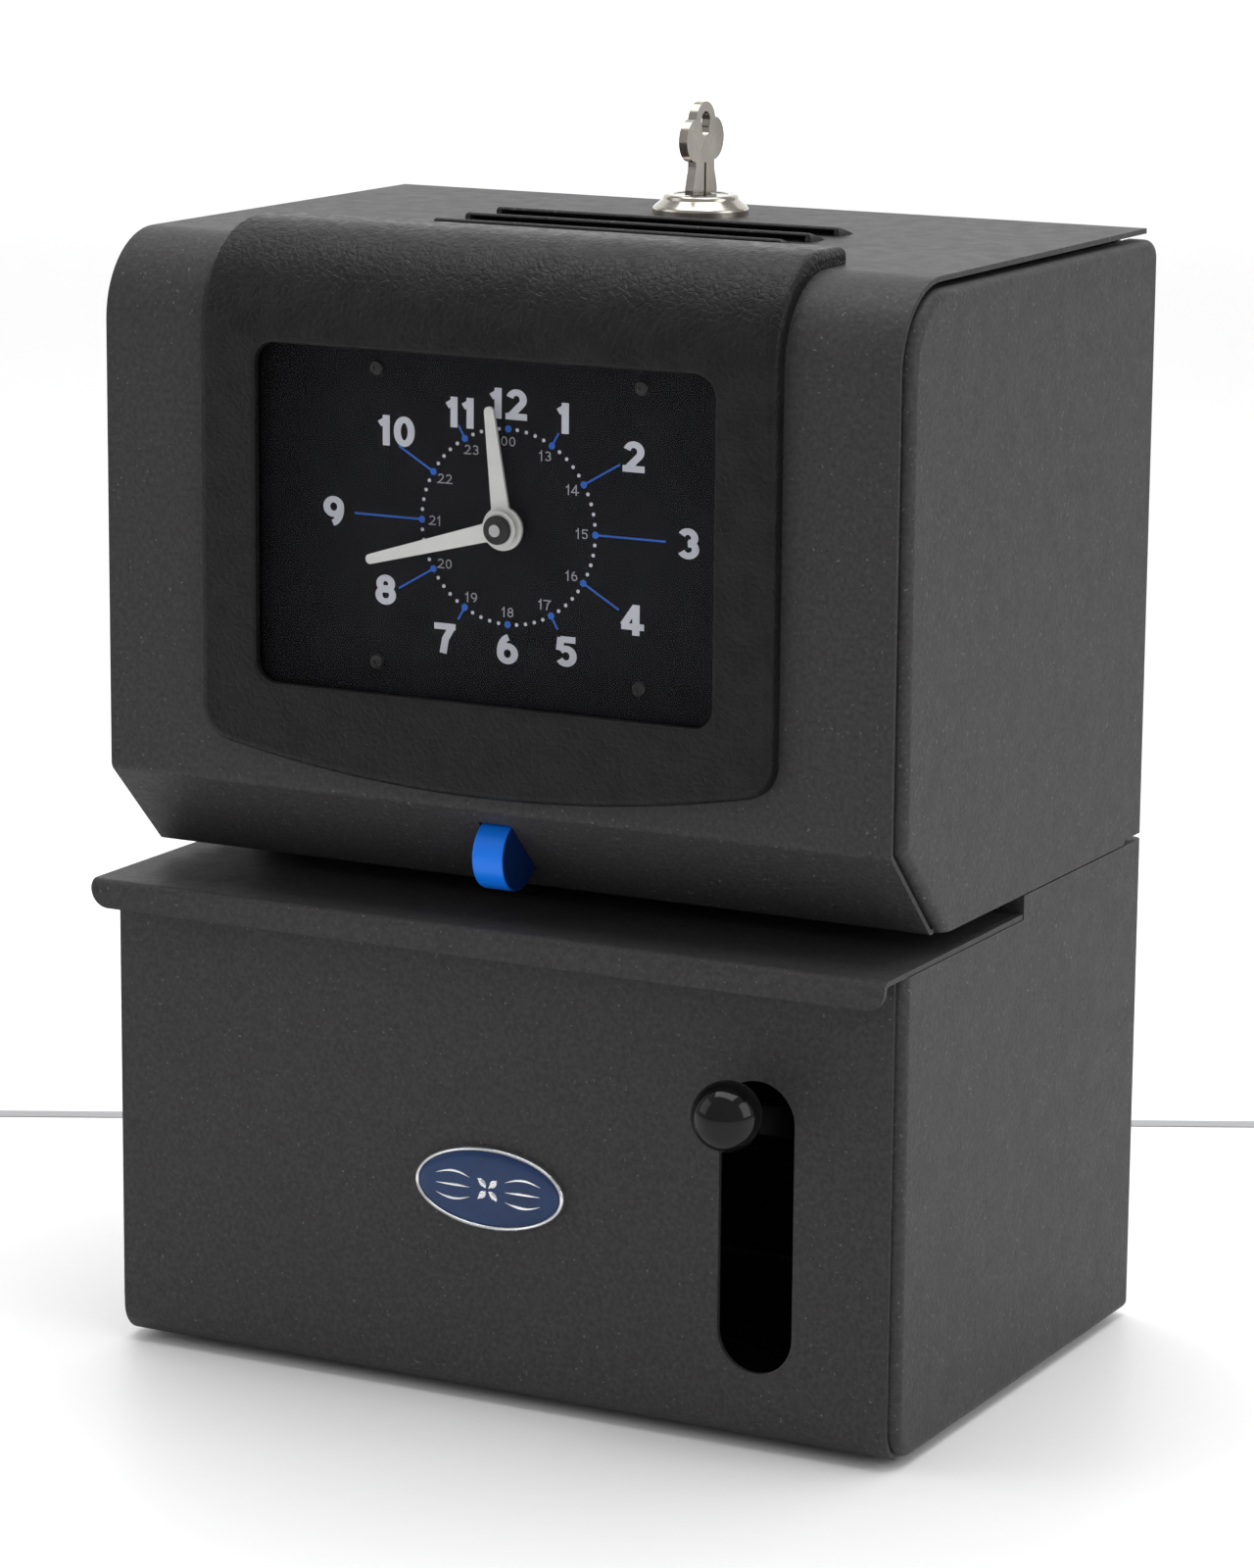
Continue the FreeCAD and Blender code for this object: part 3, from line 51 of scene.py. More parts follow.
# Camera: where it stands in the row frame, and how it is turned
CAMERA_PLACE = Vector((0.56685, -1.07776, 0.39325))
CAMERA_YAW = radians(27.557)
CAMERA_PITCH = radians(-11.908)
CAMERA_ROLL = radians(0.493)
LENS_MM = 121.49
SENSOR_MM = 36.0


# ---------------------------------------------------------------- materials

def shader(name, color, roughness, metallic=0.0, specular=0.5, coat=0.0, alpha=1.0):
    """A material with one Principled shader; returns both."""
    mat = bpy.data.materials.new(name)
    mat.use_nodes = True
    bsdf = mat.node_tree.nodes["Principled BSDF"]
    bsdf.inputs["Base Color"].default_value = (*color, 1.0)
    bsdf.inputs["Roughness"].default_value = roughness
    bsdf.inputs["Metallic"].default_value = metallic
    bsdf.inputs["Specular IOR Level"].default_value = specular
    bsdf.inputs["Coat Weight"].default_value = coat
    bsdf.inputs["Coat Roughness"].default_value = 0.08
    bsdf.inputs["Alpha"].default_value = alpha
    return mat, bsdf


def place(mat, stretch=(1.0, 1.0, 1.0)):
    """Object coordinates in metres, so that a grain has its real size on every piece."""
    tree = mat.node_tree
    coords = tree.nodes.new("ShaderNodeTexCoord")
    mapping = tree.nodes.new("ShaderNodeMapping")
    mapping.inputs["Scale"].default_value = stretch
    tree.links.new(coords.outputs["Object"], mapping.inputs["Vector"])
    return mapping.outputs["Vector"]


def noise(mat, vector, scale, detail=2.0, rough=0.5):
    """Cloudy noise from 0 to 1, with about scale patches to the metre."""
    node = mat.node_tree.nodes.new("ShaderNodeTexNoise")
    node.inputs["Scale"].default_value = scale
    node.inputs["Detail"].default_value = detail
    node.inputs["Roughness"].default_value = rough
    mat.node_tree.links.new(vector, node.inputs["Vector"])
    return node.outputs["Fac"]


def cells(mat, vector, scale, feature, smooth=0.0):
    """Distances in a pattern of rounded cells, about scale of them to the metre."""
    node = mat.node_tree.nodes.new("ShaderNodeTexVoronoi")
    node.feature = feature
    node.inputs["Scale"].default_value = scale
    if feature == "SMOOTH_F1":
        node.inputs["Smoothness"].default_value = smooth
    mat.node_tree.links.new(vector, node.inputs["Vector"])
    return node.outputs["Distance"]


def ramp(mat, factor, stops):
    """stops: (position, grey or colour) pairs."""
    node = mat.node_tree.nodes.new("ShaderNodeValToRGB")
    elements = node.color_ramp.elements
    while len(elements) < len(stops):
        elements.new(0.5)
    for element, (position, color) in zip(elements, stops):
        element.position = position
        element.color = (*color, 1.0) if hasattr(color, "__len__") else (color, color, color, 1.0)
    mat.node_tree.links.new(factor, node.inputs["Fac"])
    return node.outputs["Color"]


def blend_color(mat, factor, under, color):
    """Goes from a colour pattern to one colour as the factor goes from 0 to 1."""
    node = mat.node_tree.nodes.new("ShaderNodeMix")
    node.data_type = "RGBA"
    node.inputs["B"].default_value = (*color, 1.0)
    links = mat.node_tree.links
    links.new(factor, node.inputs["Factor"])
    links.new(under, node.inputs["A"])
    return node.outputs["Result"]


def paint(mat, bsdf, output, socket="Base Color"):
    """Links a pattern to one of the shader's sockets."""
    mat.node_tree.links.new(output, bsdf.inputs[socket])


def bump(mat, bsdf, heights):
    """heights: (output, strength, distance) layers, the finest last."""
    tree = mat.node_tree
    normal = None
    for output, strength, distance in heights:
        node = tree.nodes.new("ShaderNodeBump")
        node.inputs["Strength"].default_value = strength
        node.inputs["Distance"].default_value = distance
        tree.links.new(output, node.inputs["Height"])
        if normal:
            tree.links.new(normal, node.inputs["Normal"])
        normal = node.outputs["Normal"]
    tree.links.new(normal, bsdf.inputs["Normal"])


def powder_coat(name, dark, light, speck):
    """Textured powder coat: a fine mottle, sparse pale specks and a bumpy orange peel."""
    mat, bsdf = shader(name, light, 0.5, specular=0.2)
    at = place(mat)
    mottle = ramp(mat, noise(mat, at, 900.0, 3.0), [(0.35, dark), (0.65, light)])
    specks = ramp(mat, noise(mat, at, 1000.0, 1.0), [(0.7, 0.0), (0.76, 1.0)])
    paint(mat, bsdf, blend_color(mat, specks, mottle, speck))
    rough = ramp(mat, noise(mat, at, 180.0, 3.0), [(0.3, 0.48), (0.7, 0.55)])
    paint(mat, bsdf, rough, "Roughness")
    peel = (noise(mat, at, 260.0, 2.0), 0.25, 0.0004)
    grit = (noise(mat, at, 1100.0, 3.0, 0.6), 0.55, 0.00022)
    bump(mat, bsdf, [peel, grit])
    return mat


def leather_grain(name, dark, light):
    """Moulded plastic with a leather grain: rounded cells parted by fine creases."""
    mat, bsdf = shader(name, light, 0.42, specular=0.16)
    at = place(mat)
    warp = noise(mat, at, 160.0, 2.0)
    paint(mat, bsdf, ramp(mat, warp, [(0.3, dark), (0.7, light)]))
    creases = ramp(mat, cells(mat, at, 520.0, "DISTANCE_TO_EDGE"), [(0.0, 0.0), (0.12, 1.0)])
    pebbles = cells(mat, at, 760.0, "SMOOTH_F1", 0.6)
    grit = noise(mat, at, 1500.0, 2.0)
    bump(mat, bsdf, [(creases, 0.35, 0.0002), (pebbles, 0.5, 0.0003), (grit, 0.3, 0.0001)])
    paint(mat, bsdf, ramp(mat, noise(mat, at, 420.0, 3.0), [(0.3, 0.34), (0.7, 0.5)]), "Roughness")
    return mat


def metal(name, dark, light, roughness, stretch=(1.0, 1.0, 1.0), grain=900.0, depth=0.00005):
    """Bare metal with a drawn or turned grain and slight tarnish."""
    mat, bsdf = shader(name, light, roughness, metallic=1.0)
    at = place(mat, stretch)
    paint(mat, bsdf, ramp(mat, noise(mat, at, 60.0, 3.0), [(0.3, dark), (0.7, light)]))
    low, high = max(roughness - 0.07, 0.03), roughness + 0.1
    paint(mat, bsdf, ramp(mat, noise(mat, at, 240.0, 2.0), [(0.3, low), (0.7, high)]), "Roughness")
    bump(mat, bsdf, [(noise(mat, at, grain, 2.0), 0.25, depth)])
    return mat


def plastic(name, dark, light, roughness, grain=500.0, strength=0.15, coat=0.0, specular=0.5):
    """Moulded plastic, paint, rubber or print: a faint mottle and a fine bumpy grain."""
    mat, bsdf = shader(name, light, roughness, specular=specular, coat=coat)
    at = place(mat)
    paint(mat, bsdf, ramp(mat, noise(mat, at, 110.0, 3.0), [(0.3, dark), (0.7, light)]))
    bump(mat, bsdf, [(noise(mat, at, grain, 2.0), strength, 0.0001)])
    return mat


def clear_sheet(name):
    """Clear acrylic: nearly nothing but its gloss, with the faintest haze of dust."""
    mat, bsdf = shader(name, (0.01, 0.01, 0.012), 0.04, specular=0.5, alpha=0.08)
    at = place(mat)
    paint(mat, bsdf, ramp(mat, noise(mat, at, 240.0, 3.0), [(0.55, 0.03), (0.75, 0.09)]), "Roughness")
    mat.blend_method = "BLEND"
    return mat


def two_tone(name, front, flank):
    """A satin plastic tab whose sides, facing along X, carry a painted shade much darker than its face."""
    mat, bsdf = shader(name, front, 0.3, specular=0.3)
    at = place(mat)
    # Painted shade: the colour goes dark where the face turns towards +X, standing in for the shadow on the
    # tab's flank.
    coords = mat.node_tree.nodes.new("ShaderNodeTexCoord")
    split = mat.node_tree.nodes.new("ShaderNodeSeparateXYZ")
    mat.node_tree.links.new(coords.outputs["Normal"], split.inputs["Vector"])
    paint(mat, bsdf, ramp(mat, split.outputs["X"], [(0.3, front), (0.75, flank)]))
    bump(mat, bsdf, [(noise(mat, at, 400.0, 2.0), 0.08, 0.0001)])
    return mat


def ink_cloth(name):
    """Inked nylon ribbon: a fine plain weave soaked dark."""
    mat, bsdf = shader(name, (0.02, 0.012, 0.05), 0.6)
    at = place(mat)
    wave = mat.node_tree.nodes.new("ShaderNodeTexWave")
    wave.inputs["Scale"].default_value = 900.0
    mat.node_tree.links.new(at, wave.inputs["Vector"])
    stains = noise(mat, at, 200.0)
    paint(mat, bsdf, ramp(mat, stains, [(0.3, (0.012, 0.008, 0.03)), (0.7, (0.03, 0.02, 0.07))]))
    bump(mat, bsdf, [(wave.outputs["Fac"], 0.5, 0.00005)])
    return mat


def grey(value):
    return value, value, value


materials = {}


def add(recipe, name, *values, **options):
    """Makes one material by its recipe and keeps it under its slot's name."""
    materials[name] = recipe(name, *values, **options)


add(powder_coat, "powder_coat", dark=(0.032, 0.030, 0.031), light=(0.047, 0.045, 0.047),
    speck=(0.1, 0.1, 0.105))
add(leather_grain, "bezel_black", dark=grey(0.008), light=(0.013, 0.013, 0.014))
add(clear_sheet, "clear_window")
add(plastic, "dial_black", dark=(0.004, 0.004, 0.006), light=(0.008, 0.008, 0.011), roughness=0.5,
    grain=90.0, strength=0.02, specular=0.08)
add(plastic, "hand_white", dark=(0.86, 0.86, 0.84), light=(0.93, 0.93, 0.91), roughness=0.5,
    grain=900.0, strength=0.06)
# The pointer's dark flank is painted shade, not a second paint colour.
add(two_tone, "pointer_blue", front=(0.005, 0.2, 0.93), flank=(0.003, 0.02, 0.1))
add(plastic, "knob_black", dark=grey(0.003), light=grey(0.006), roughness=0.08,
    grain=200.0, strength=0.02, specular=0.25)
add(plastic, "badge_blue", dark=(0.004, 0.022, 0.08), light=(0.007, 0.034, 0.12), roughness=0.22,
    grain=300.0, strength=0.05, coat=0.15, specular=0.3)
add(metal, "nickel", dark=(0.3, 0.28, 0.245), light=(0.48, 0.445, 0.395), roughness=0.18, grain=500.0)
add(metal, "zinc_steel", dark=(0.42, 0.43, 0.44), light=(0.62, 0.63, 0.64), roughness=0.36,
    stretch=(1.0, 1.0, 6.0))
add(metal, "turned_steel", dark=grey(0.5), light=grey(0.7), roughness=0.22, stretch=(1.0, 8.0, 1.0))
add(metal, "gear_brass", dark=(0.55, 0.36, 0.12), light=(0.8, 0.56, 0.22), roughness=0.28,
    stretch=(1.0, 6.0, 1.0))
add(plastic, "gear_nylon", dark=(0.6, 0.57, 0.48), light=(0.78, 0.75, 0.66), roughness=0.45)
add(plastic, "type_plastic", dark=(0.02, 0.02, 0.022), light=(0.045, 0.045, 0.05), roughness=0.4)
add(plastic, "black_steel", dark=(0.004, 0.004, 0.005), light=(0.012, 0.012, 0.013), roughness=0.36,
    grain=800.0, strength=0.2)
add(plastic, "rubber_black", dark=grey(0.012), light=grey(0.024), roughness=0.75, grain=900.0, strength=0.4)
add(ink_cloth, "ribbon_ink")
add(metal, "motor_can", dark=(0.5, 0.51, 0.52), light=(0.7, 0.71, 0.72), roughness=0.3,
    stretch=(1.0, 5.0, 1.0))
add(plastic, "spool_plastic", dark=(0.05, 0.05, 0.055), light=(0.1, 0.1, 0.11), roughness=0.4)
for entry in frame["record"]["subparts"]:
    node = nodes[entry["node"]]
    node.data.materials.clear()
    node.data.materials.append(materials[entry["material_slot"]])


# ---------------------------------------------------------------- helpers for pieces

SMOOTH_ANGLE = 35.0


def finish_mesh(bm, name, material, body, smooth=SMOOTH_ANGLE):
    """Turns a bmesh into a piece that rides on a body and takes a slot's material."""
    bmesh.ops.remove_doubles(bm, verts=bm.verts, dist=1e-7)
    bmesh.ops.recalc_face_normals(bm, faces=bm.faces)
    data = bpy.data.meshes.new(name)
    bm.to_mesh(data)
    bm.free()
    piece = bpy.data.objects.new(name, data)
    bpy.context.scene.collection.objects.link(piece)
    shade_by_angle(data, smooth)
    data.materials.append(material)
    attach(piece, body)
    return piece


def shade_by_angle(data, degrees_limit):
    """Smooth shading, with edges sharper than the limit kept sharp."""
    data.shade_smooth()
    data.set_sharp_from_angle(angle=radians(degrees_limit))


def soften(piece, width, segments, angle):
    """Applied bevel, so that the rounded edge is real geometry."""
    modifier = piece.modifiers.new("soften", "BEVEL")
    modifier.width = width
    modifier.segments = segments
    modifier.limit_method = "ANGLE"
    modifier.angle_limit = radians(angle)
    modifier.harden_normals = False
    depsgraph = bpy.context.evaluated_depsgraph_get()
    data = bpy.data.meshes.new_from_object(piece.evaluated_get(depsgraph))
    piece.modifiers.clear()
    piece.data = data
    shade_by_angle(data, SMOOTH_ANGLE)


def slab(bm, outline, y_front, y_back):
    """A flat shape in X and Z, from y_front to y_back."""
    front = [bm.verts.new((x, y_front, z)) for x, z in outline]
    back = [bm.verts.new((x, y_back, z)) for x, z in outline]
    bm.faces.new(front)
    bm.faces.new(back[::-1])
    count = len(outline)
    for i in range(count):
        j = (i + 1) % count
        bm.faces.new((front[i], back[i], back[j], front[j]))


def circle(x, z, radius, count):
    """Points round a circle, in X and Z."""
    turns = [2 * pi * i / count for i in range(count)]
    return [(x + radius * cos(a), z + radius * sin(a)) for a in turns]


def clock_point(radius, hour):
    """Place on the dial, from the centre: hour 12 is straight up and the hours go clockwise."""
    turn = 2 * pi * hour / 12
    return radius * sin(turn), radius * cos(turn)


# ---------------------------------------------------------------- dial print

DIAL_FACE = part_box("dial_plate")[0].y
hub_low, hub_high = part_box("minute_arbor")
CENTRE_Z = (hub_low.z + hub_high.z) / 2
PRINT = 0.06 * MM
PRINT_ROOT = 0.1
RING_R = 22.2 * MM
# By hours away from twelve or six: places of the large numerals from the centre, and ends of the leader lines
NUMERAL_X = [0.0, 15.0, 31.7, 45.4]
NUMERAL_Z = [27.8, 25.6, 18.3, 0.0]
LEADER_R = [None, 25.6, 32.6, 39.8]
LEADER_HALF, LEADER_LIFT = 0.22, 0.8
NUMERAL_H, NUMERAL_STEM, NUMERAL_BAR = 6.9 * MM, 0.13, 0.105
SMALL_H, SMALL_STROKE = 2.4 * MM, 0.05
SMALL_X, SMALL_Z = 18.8, 19.4
# How far some large numerals stand off those places, to the right and up
NUMERAL_SHIFT = {1: (-0.9, 0.0), 5: (0.0, -1.4), 7: (-1.2, -1.2),
                 8: (0.0, 1.3), 10: (2.8, 1.3), 11: (2.8, -0.6)}
HOUR_DOT_R, MINUTE_DOT_R, DOT_SIDES = 0.8, 0.42, 16


def dial_print(name, dark, light, roughness):
    return plastic(name, dark, light, roughness, grain=900.0, strength=0.05)


print_white = dial_print("print_white", (0.7, 0.71, 0.8), (0.8, 0.81, 0.9), 0.45)
print_grey = dial_print("print_grey", (0.42, 0.42, 0.47), (0.52, 0.52, 0.57), 0.45)
print_blue = dial_print("print_blue", (0.01, 0.12, 0.62), (0.015, 0.17, 0.78), 0.4)


def quadrant(hour):
    """How many hours from twelve or six, and which side (1 is right) and half (1 is upper) of the dial."""
    steps = min(hour % 6, 6 - hour % 6)
    across, upward = 0, 0
    if steps != 0:
        across = 1 if hour < 6 else -1
    if steps != 3:
        upward = -1 if 3 < hour < 9 else 1
    return steps, across, upward


def arc(x, z, wide, tall, start, stop):
    """Points on an ellipse, by angle in degrees from +X towards +Z."""
    count = max(int(abs(stop - start) / 12), 2)
    angles = [radians(start + (stop - start) * i / count) for i in range(count + 1)]
    return [(x + wide * cos(t), z + tall * sin(t)) for t in angles]


# Centre lines of the digits' strokes, in digit heights from the middle of the digit
ROUND_LOW = (0.0, -0.15, 0.265, 0.245)
TAIL = arc(0.08, -0.1, 0.345, 0.495, 98, 178)
DIGITS = {
    "0": [arc(0.0, 0.0, 0.265, 0.395, 0, 360)],
    "1": [[(0.05, -0.5), (0.05, 0.5)], [(0.08, 0.36), (-0.2, 0.2)]],
    "2": [arc(0.0, 0.165, 0.25, 0.23, 165, -35) + [(-0.2, -0.36)], [(-0.4, -0.395), (0.39, -0.395)]],
    "3": [arc(-0.01, 0.19, 0.24, 0.205, 155, -90), arc(0.0, -0.18, 0.265, 0.215, 90, -155)],
    "4": [[(0.1, 0.42), (-0.33, -0.19)], [(-0.4, -0.22), (0.42, -0.22)], [(0.13, -0.5), (0.13, 0.5)]],
    "5": [[(0.34, 0.395), (-0.21, 0.395)], [(-0.19, 0.45), (-0.24, 0.03)], arc(*ROUND_LOW, 140, -150)],
    "6": [arc(*ROUND_LOW, 0, 360), TAIL],
    "7": [[(-0.4, 0.395), (0.4, 0.395)], [(0.25, 0.36), (0.02, -0.02), (-0.07, -0.5)]],
    "8": [arc(0.0, 0.2, 0.225, 0.195, 0, 360), arc(0.0, -0.175, 0.26, 0.22, 0, 360)],
    "9": [[(-x, -z) for x, z in arc(*ROUND_LOW, 0, 360)], [(-x, -z) for x, z in TAIL]],
}
DIGIT_STEP, ONE_STEP = 0.86, 0.6
STROKE_STEP = 0.25


def stroke(bm, path, stem, bar, lift, to_dial):
    """One stroke of a digit, raised off the dial: stem and bar are half widths along X and Z."""
    closed = (Vector(path[0]) - Vector(path[-1])).length < 1e-6
    rows = []
    for i, (x, z) in enumerate(path):
        before = path[i - 1] if i else path[-2] if closed else path[0]
        after = path[i + 1] if i + 1 < len(path) else path[1] if closed else path[-1]
        along = Vector((after[0] - before[0], after[1] - before[1])).normalized()
        sides = [(x - along.y * stem * k, z + along.x * bar * k) for k in (1, -1)]
        places = [to_dial(px, pz, depth) for depth in (lift, PRINT_ROOT) for px, pz in sides]
        rows.append([bm.verts.new(point) for point in places])
    for a, b in zip(rows, rows[1:]):
        for k, m in ((0, 1), (1, 3), (3, 2), (2, 0)):
            bm.faces.new((a[k], a[m], b[m], b[k]))
    if not closed:
        for row in (rows[0], rows[-1]):
            bm.faces.new((row[0], row[1], row[3], row[2]))


def numeral(bm, text, x, z, height, stem, bar):
    """Digits built from strokes that stand on the dial, each a little higher than the one it crosses."""
    steps = [ONE_STEP if digit == "1" else DIGIT_STEP for digit in text]
    left = -sum(steps) / 2
    for digit, step in zip(text, steps):
        middle = left + step / 2

        def to_dial(px, pz, depth, middle=middle):
            return Vector((x + (middle + px) * height, DIAL_FACE - PRINT * depth, z + pz * height))

        for layer, path in enumerate(DIGITS[digit]):
            stroke(bm, path, stem, bar, 1.0 + STROKE_STEP * layer, to_dial)
        left += step


big, small = bmesh.new(), bmesh.new()
for hour in range(1, 13):
    steps, across, upward = quadrant(hour)
    shift_x, shift_z = NUMERAL_SHIFT.get(hour, (0.0, 0.0))
    x = (across * NUMERAL_X[steps] + shift_x) * MM
    z = (upward * NUMERAL_Z[steps] + shift_z) * MM
    numeral(big, str(hour), x, CENTRE_Z + z, NUMERAL_H, NUMERAL_STEM, NUMERAL_BAR)
    text = "00" if hour == 12 else str(hour + 12)
    sx, sz = clock_point(MM, hour)
    numeral(small, text, sx * SMALL_X, CENTRE_Z + sz * SMALL_Z, SMALL_H, SMALL_STROKE, SMALL_STROKE)
finish_mesh(big, "dial_numerals", print_white, "chassis")
finish_mesh(small, "dial_small_numerals", print_grey, "chassis")

white_dots, blue_marks = bmesh.new(), bmesh.new()
for minute in range(60):
    x, z = clock_point(RING_R, minute / 5)
    target, radius = (blue_marks, HOUR_DOT_R) if minute % 5 == 0 else (white_dots, MINUTE_DOT_R)
    dot = circle(x, CENTRE_Z + z, radius * MM, DOT_SIDES)
    slab(target, dot, DIAL_FACE - PRINT, DIAL_FACE - PRINT * PRINT_ROOT)
for hour in range(1, 13):
    steps, across, upward = quadrant(hour)
    if steps == 0:
        continue
    inner = Vector(clock_point(RING_R, hour))
    outer = Vector(clock_point(LEADER_R[steps] * MM, hour))
    side = (outer - inner).normalized().orthogonal() * LEADER_HALF * MM
    corners = [inner - side, outer - side, outer + side, inner + side]
    line = [(p.x, CENTRE_Z + p.y) for p in corners]
    slab(blue_marks, line, DIAL_FACE - PRINT * LEADER_LIFT, DIAL_FACE - PRINT * PRINT_ROOT)
finish_mesh(white_dots, "dial_dots", print_white, "chassis")
finish_mesh(blue_marks, "dial_blue_marks", print_blue, "chassis")


# ---------------------------------------------------------------- hands

HAND_EDGE = 0.22 * MM
HAND_EDGE_ANGLE = 50.0
TIP_STEPS, BOSS_STEPS, BORE_SIDES = 16, 40, 32


def hand_piece(name, node, y_front, y_back, length, tip_half, root_half, boss_r, bore_r, clockwise, body):
    """A pressed hand: a tapered blade with a round tip, a round boss and softly rounded edges."""
    bm = bmesh.new()
    turn = radians(clockwise)
    points = []
    tip = length - tip_half
    start = sqrt(boss_r ** 2 - root_half ** 2)
    for i in range(TIP_STEPS + 1):
        a = pi * i / TIP_STEPS
        points.append((tip_half * cos(a), tip + tip_half * sin(a)))
    opening = atan2(root_half, start)
    angles = [opening + (2 * pi - 2 * opening) * i / BOSS_STEPS for i in range(BOSS_STEPS + 1)]
    points += [(-boss_r * sin(a), boss_r * cos(a)) for a in angles]
    ring = [(x * cos(turn) + z * sin(turn), CENTRE_Z - x * sin(turn) + z * cos(turn)) for x, z in points]
    hole = circle(0.0, CENTRE_Z, bore_r, BORE_SIDES)
    rims = []
    for y in (y_front, y_back):
        outer = [bm.verts.new((x, y, z)) for x, z in ring]
        inner = [bm.verts.new((x, y, z)) for x, z in hole]
        edges = []
        for loop in (outer, inner):
            edges += [bm.edges.new((loop[i], loop[(i + 1) % len(loop)])) for i in range(len(loop))]
        bmesh.ops.triangle_fill(bm, use_beauty=True, edges=edges)
        rims.append((outer, inner))
    for front, back in zip(*rims):
        for i in range(len(front)):
            j = (i + 1) % len(front)
            bm.faces.new((front[i], back[i], back[j], front[j]))
    piece = finish_mesh(bm, name, materials["hand_white"], body)
    soften(piece, HAND_EDGE, 3, HAND_EDGE_ANGLE)
    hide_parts(node)


# Node: length, half widths of the tip and of the root, radii of the boss and of its bore, angle and body
HANDS = {
    "minute_hand": (35.7, 1.15, 2.1, 4.2, 2.25, 254.2, "minute"),
    "hour_hand": (27.5, 1.2, 2.2, 5.0, 3.35, 352.3, "hour"),
}
for name, (*sizes, clockwise, body) in HANDS.items():
    low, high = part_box(name)
    hand_piece(name + "_white", name, low.y, high.y, *[v * MM for v in sizes], clockwise, body)


# ---------------------------------------------------------------- badge

OVAL_SIDES = 72


def oval(half_w, half_h, y):
    """Points round an ellipse that faces the front."""
    turns = [2 * pi * i / OVAL_SIDES for i in range(OVAL_SIDES)]
    return [Vector((half_w * cos(a), y, half_h * sin(a))) for a in turns]


def lofted(bm, rings, cap=True):
    """A skin over rings of points, with or without its two ends."""
    loops = [[bm.verts.new(p) for p in ring] for ring in rings]
    count = len(loops[0])
    for a, b in zip(loops, loops[1:]):
        for i in range(count):
            j = (i + 1) % count
            bm.faces.new((a[i], a[j], b[j], b[i]))
    if cap:
        bm.faces.new(loops[0][::-1])
        bm.faces.new(loops[-1])


badge_low, badge_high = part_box("badge")
badge_z = (badge_low.z + badge_high.z) / 2
half_w, half_h = (badge_high.x - badge_low.x) / 2, (badge_high.z - badge_low.z) / 2
badge_back = badge_high.y
silver = metal("badge_silver", (0.6, 0.61, 0.63), (0.85, 0.86, 0.88), 0.2, grain=300.0)
# Steps of the rim, from its outer foot over its crown to its inner foot: inset and height
RIM_STEPS = [(0.0, 0.0), (0.0, 1.1), (0.25, 1.6), (0.6, 1.82), (0.95, 1.6), (1.15, 1.2), (1.15, 0.0)]
DOME_INSET, DOME_REACH = 1.15, 7.6
DOME_FOOT, DOME_EDGE, DOME_RISE = 0.1, 1.25, 0.6
DOME_STEPS = 8


def badge_ring(inset, proud):
    """An oval set in from the badge's edge and standing in front of its back."""
    ring = oval(half_w - inset * MM, half_h - inset * MM, badge_back - proud * MM)
    return [p + Vector((0, 0, badge_z)) for p in ring]


rim = bmesh.new()
lofted(rim, [badge_ring(*step) for step in RIM_STEPS], cap=False)
finish_mesh(rim, "badge_rim", silver, "chassis", 60.0)
dome = bmesh.new()
dome_steps = [(DOME_INSET, DOME_FOOT), (DOME_INSET, DOME_EDGE)]
for i in range(1, DOME_STEPS + 1):
    a = pi / 2 * i / DOME_STEPS
    dome_steps.append((DOME_INSET + DOME_REACH * (1 - cos(a)), DOME_EDGE + DOME_RISE * sin(a)))
lofted(dome, [badge_ring(*step) for step in dome_steps])
dome_piece = finish_mesh(dome, "badge_dome", materials["badge_blue"], "chassis", 60.0)
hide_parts("badge")


def dome_front(x, z):
    """How far in front of its back the badge's dome stands at a place on it."""
    reach = min(sqrt((x / half_w) ** 2 + (z / half_h) ** 2), 1.0)
    return (DOME_EDGE + DOME_RISE - DOME_RISE * reach ** 2) * MM


STROKE_LIFT = 0.28


def ornament(bm, path, half_width):
    """A raised stroke that tapers to both ends and follows the dome."""
    count = len(path)
    rows = []
    for i, (x, z) in enumerate(path):
        ax, az = path[max(i - 1, 0)]
        bx, bz = path[min(i + 1, count - 1)]
        along = Vector((bx - ax, bz - az)).normalized()
        width = half_width * max(sin(pi * (i + 0.35) / (count - 0.3)), 0.12)
        row = []
        for side, lift in ((-1, 0.0), (-0.5, STROKE_LIFT), (0.5, STROKE_LIFT), (1, 0.0)):
            px, pz = x - along.y * width * side, z + along.x * width * side
            row.append(bm.verts.new((px, badge_back - dome_front(px, pz) - lift * MM, badge_z + pz)))
        rows.append(row)
    for a, b in zip(rows, rows[1:]):
        for i in range(3):
            bm.faces.new((a[i], a[i + 1], b[i + 1], b[i]))
        bm.faces.new((a[3], a[0], b[0], b[3]))
    bm.faces.new(rows[0])
    bm.faces.new(rows[-1][::-1])


WAVE_START, WAVE_LENGTH, WAVE_HALF, WAVE_POINTS = 4.6, 9.0, 0.42, 16
PETAL_START, PETAL_LENGTH, PETAL_HALF, PETAL_POINTS = 0.5, 3.0, 0.8, 10
strokes = bmesh.new()
for side in (-1, 1):
    for offset, bow in ((-2.3, -1.0), (0.0, 0.0), (2.3, 1.0)):
        wave = []
        for t in range(WAVE_POINTS + 1):
            x = side * (WAVE_START + WAVE_LENGTH * t / WAVE_POINTS)
            wave.append((x * MM, (offset + bow * sin(pi * t / WAVE_POINTS)) * MM))
        ornament(strokes, wave, WAVE_HALF * MM)
for i in range(4):
    turn = pi / 4 + i * pi / 2
    reaches = [PETAL_START + PETAL_LENGTH * t / PETAL_POINTS for t in range(PETAL_POINTS + 1)]
    petal = [(reach * cos(turn) * MM, reach * sin(turn) * MM) for reach in reaches]
    ornament(strokes, petal, PETAL_HALF * MM)
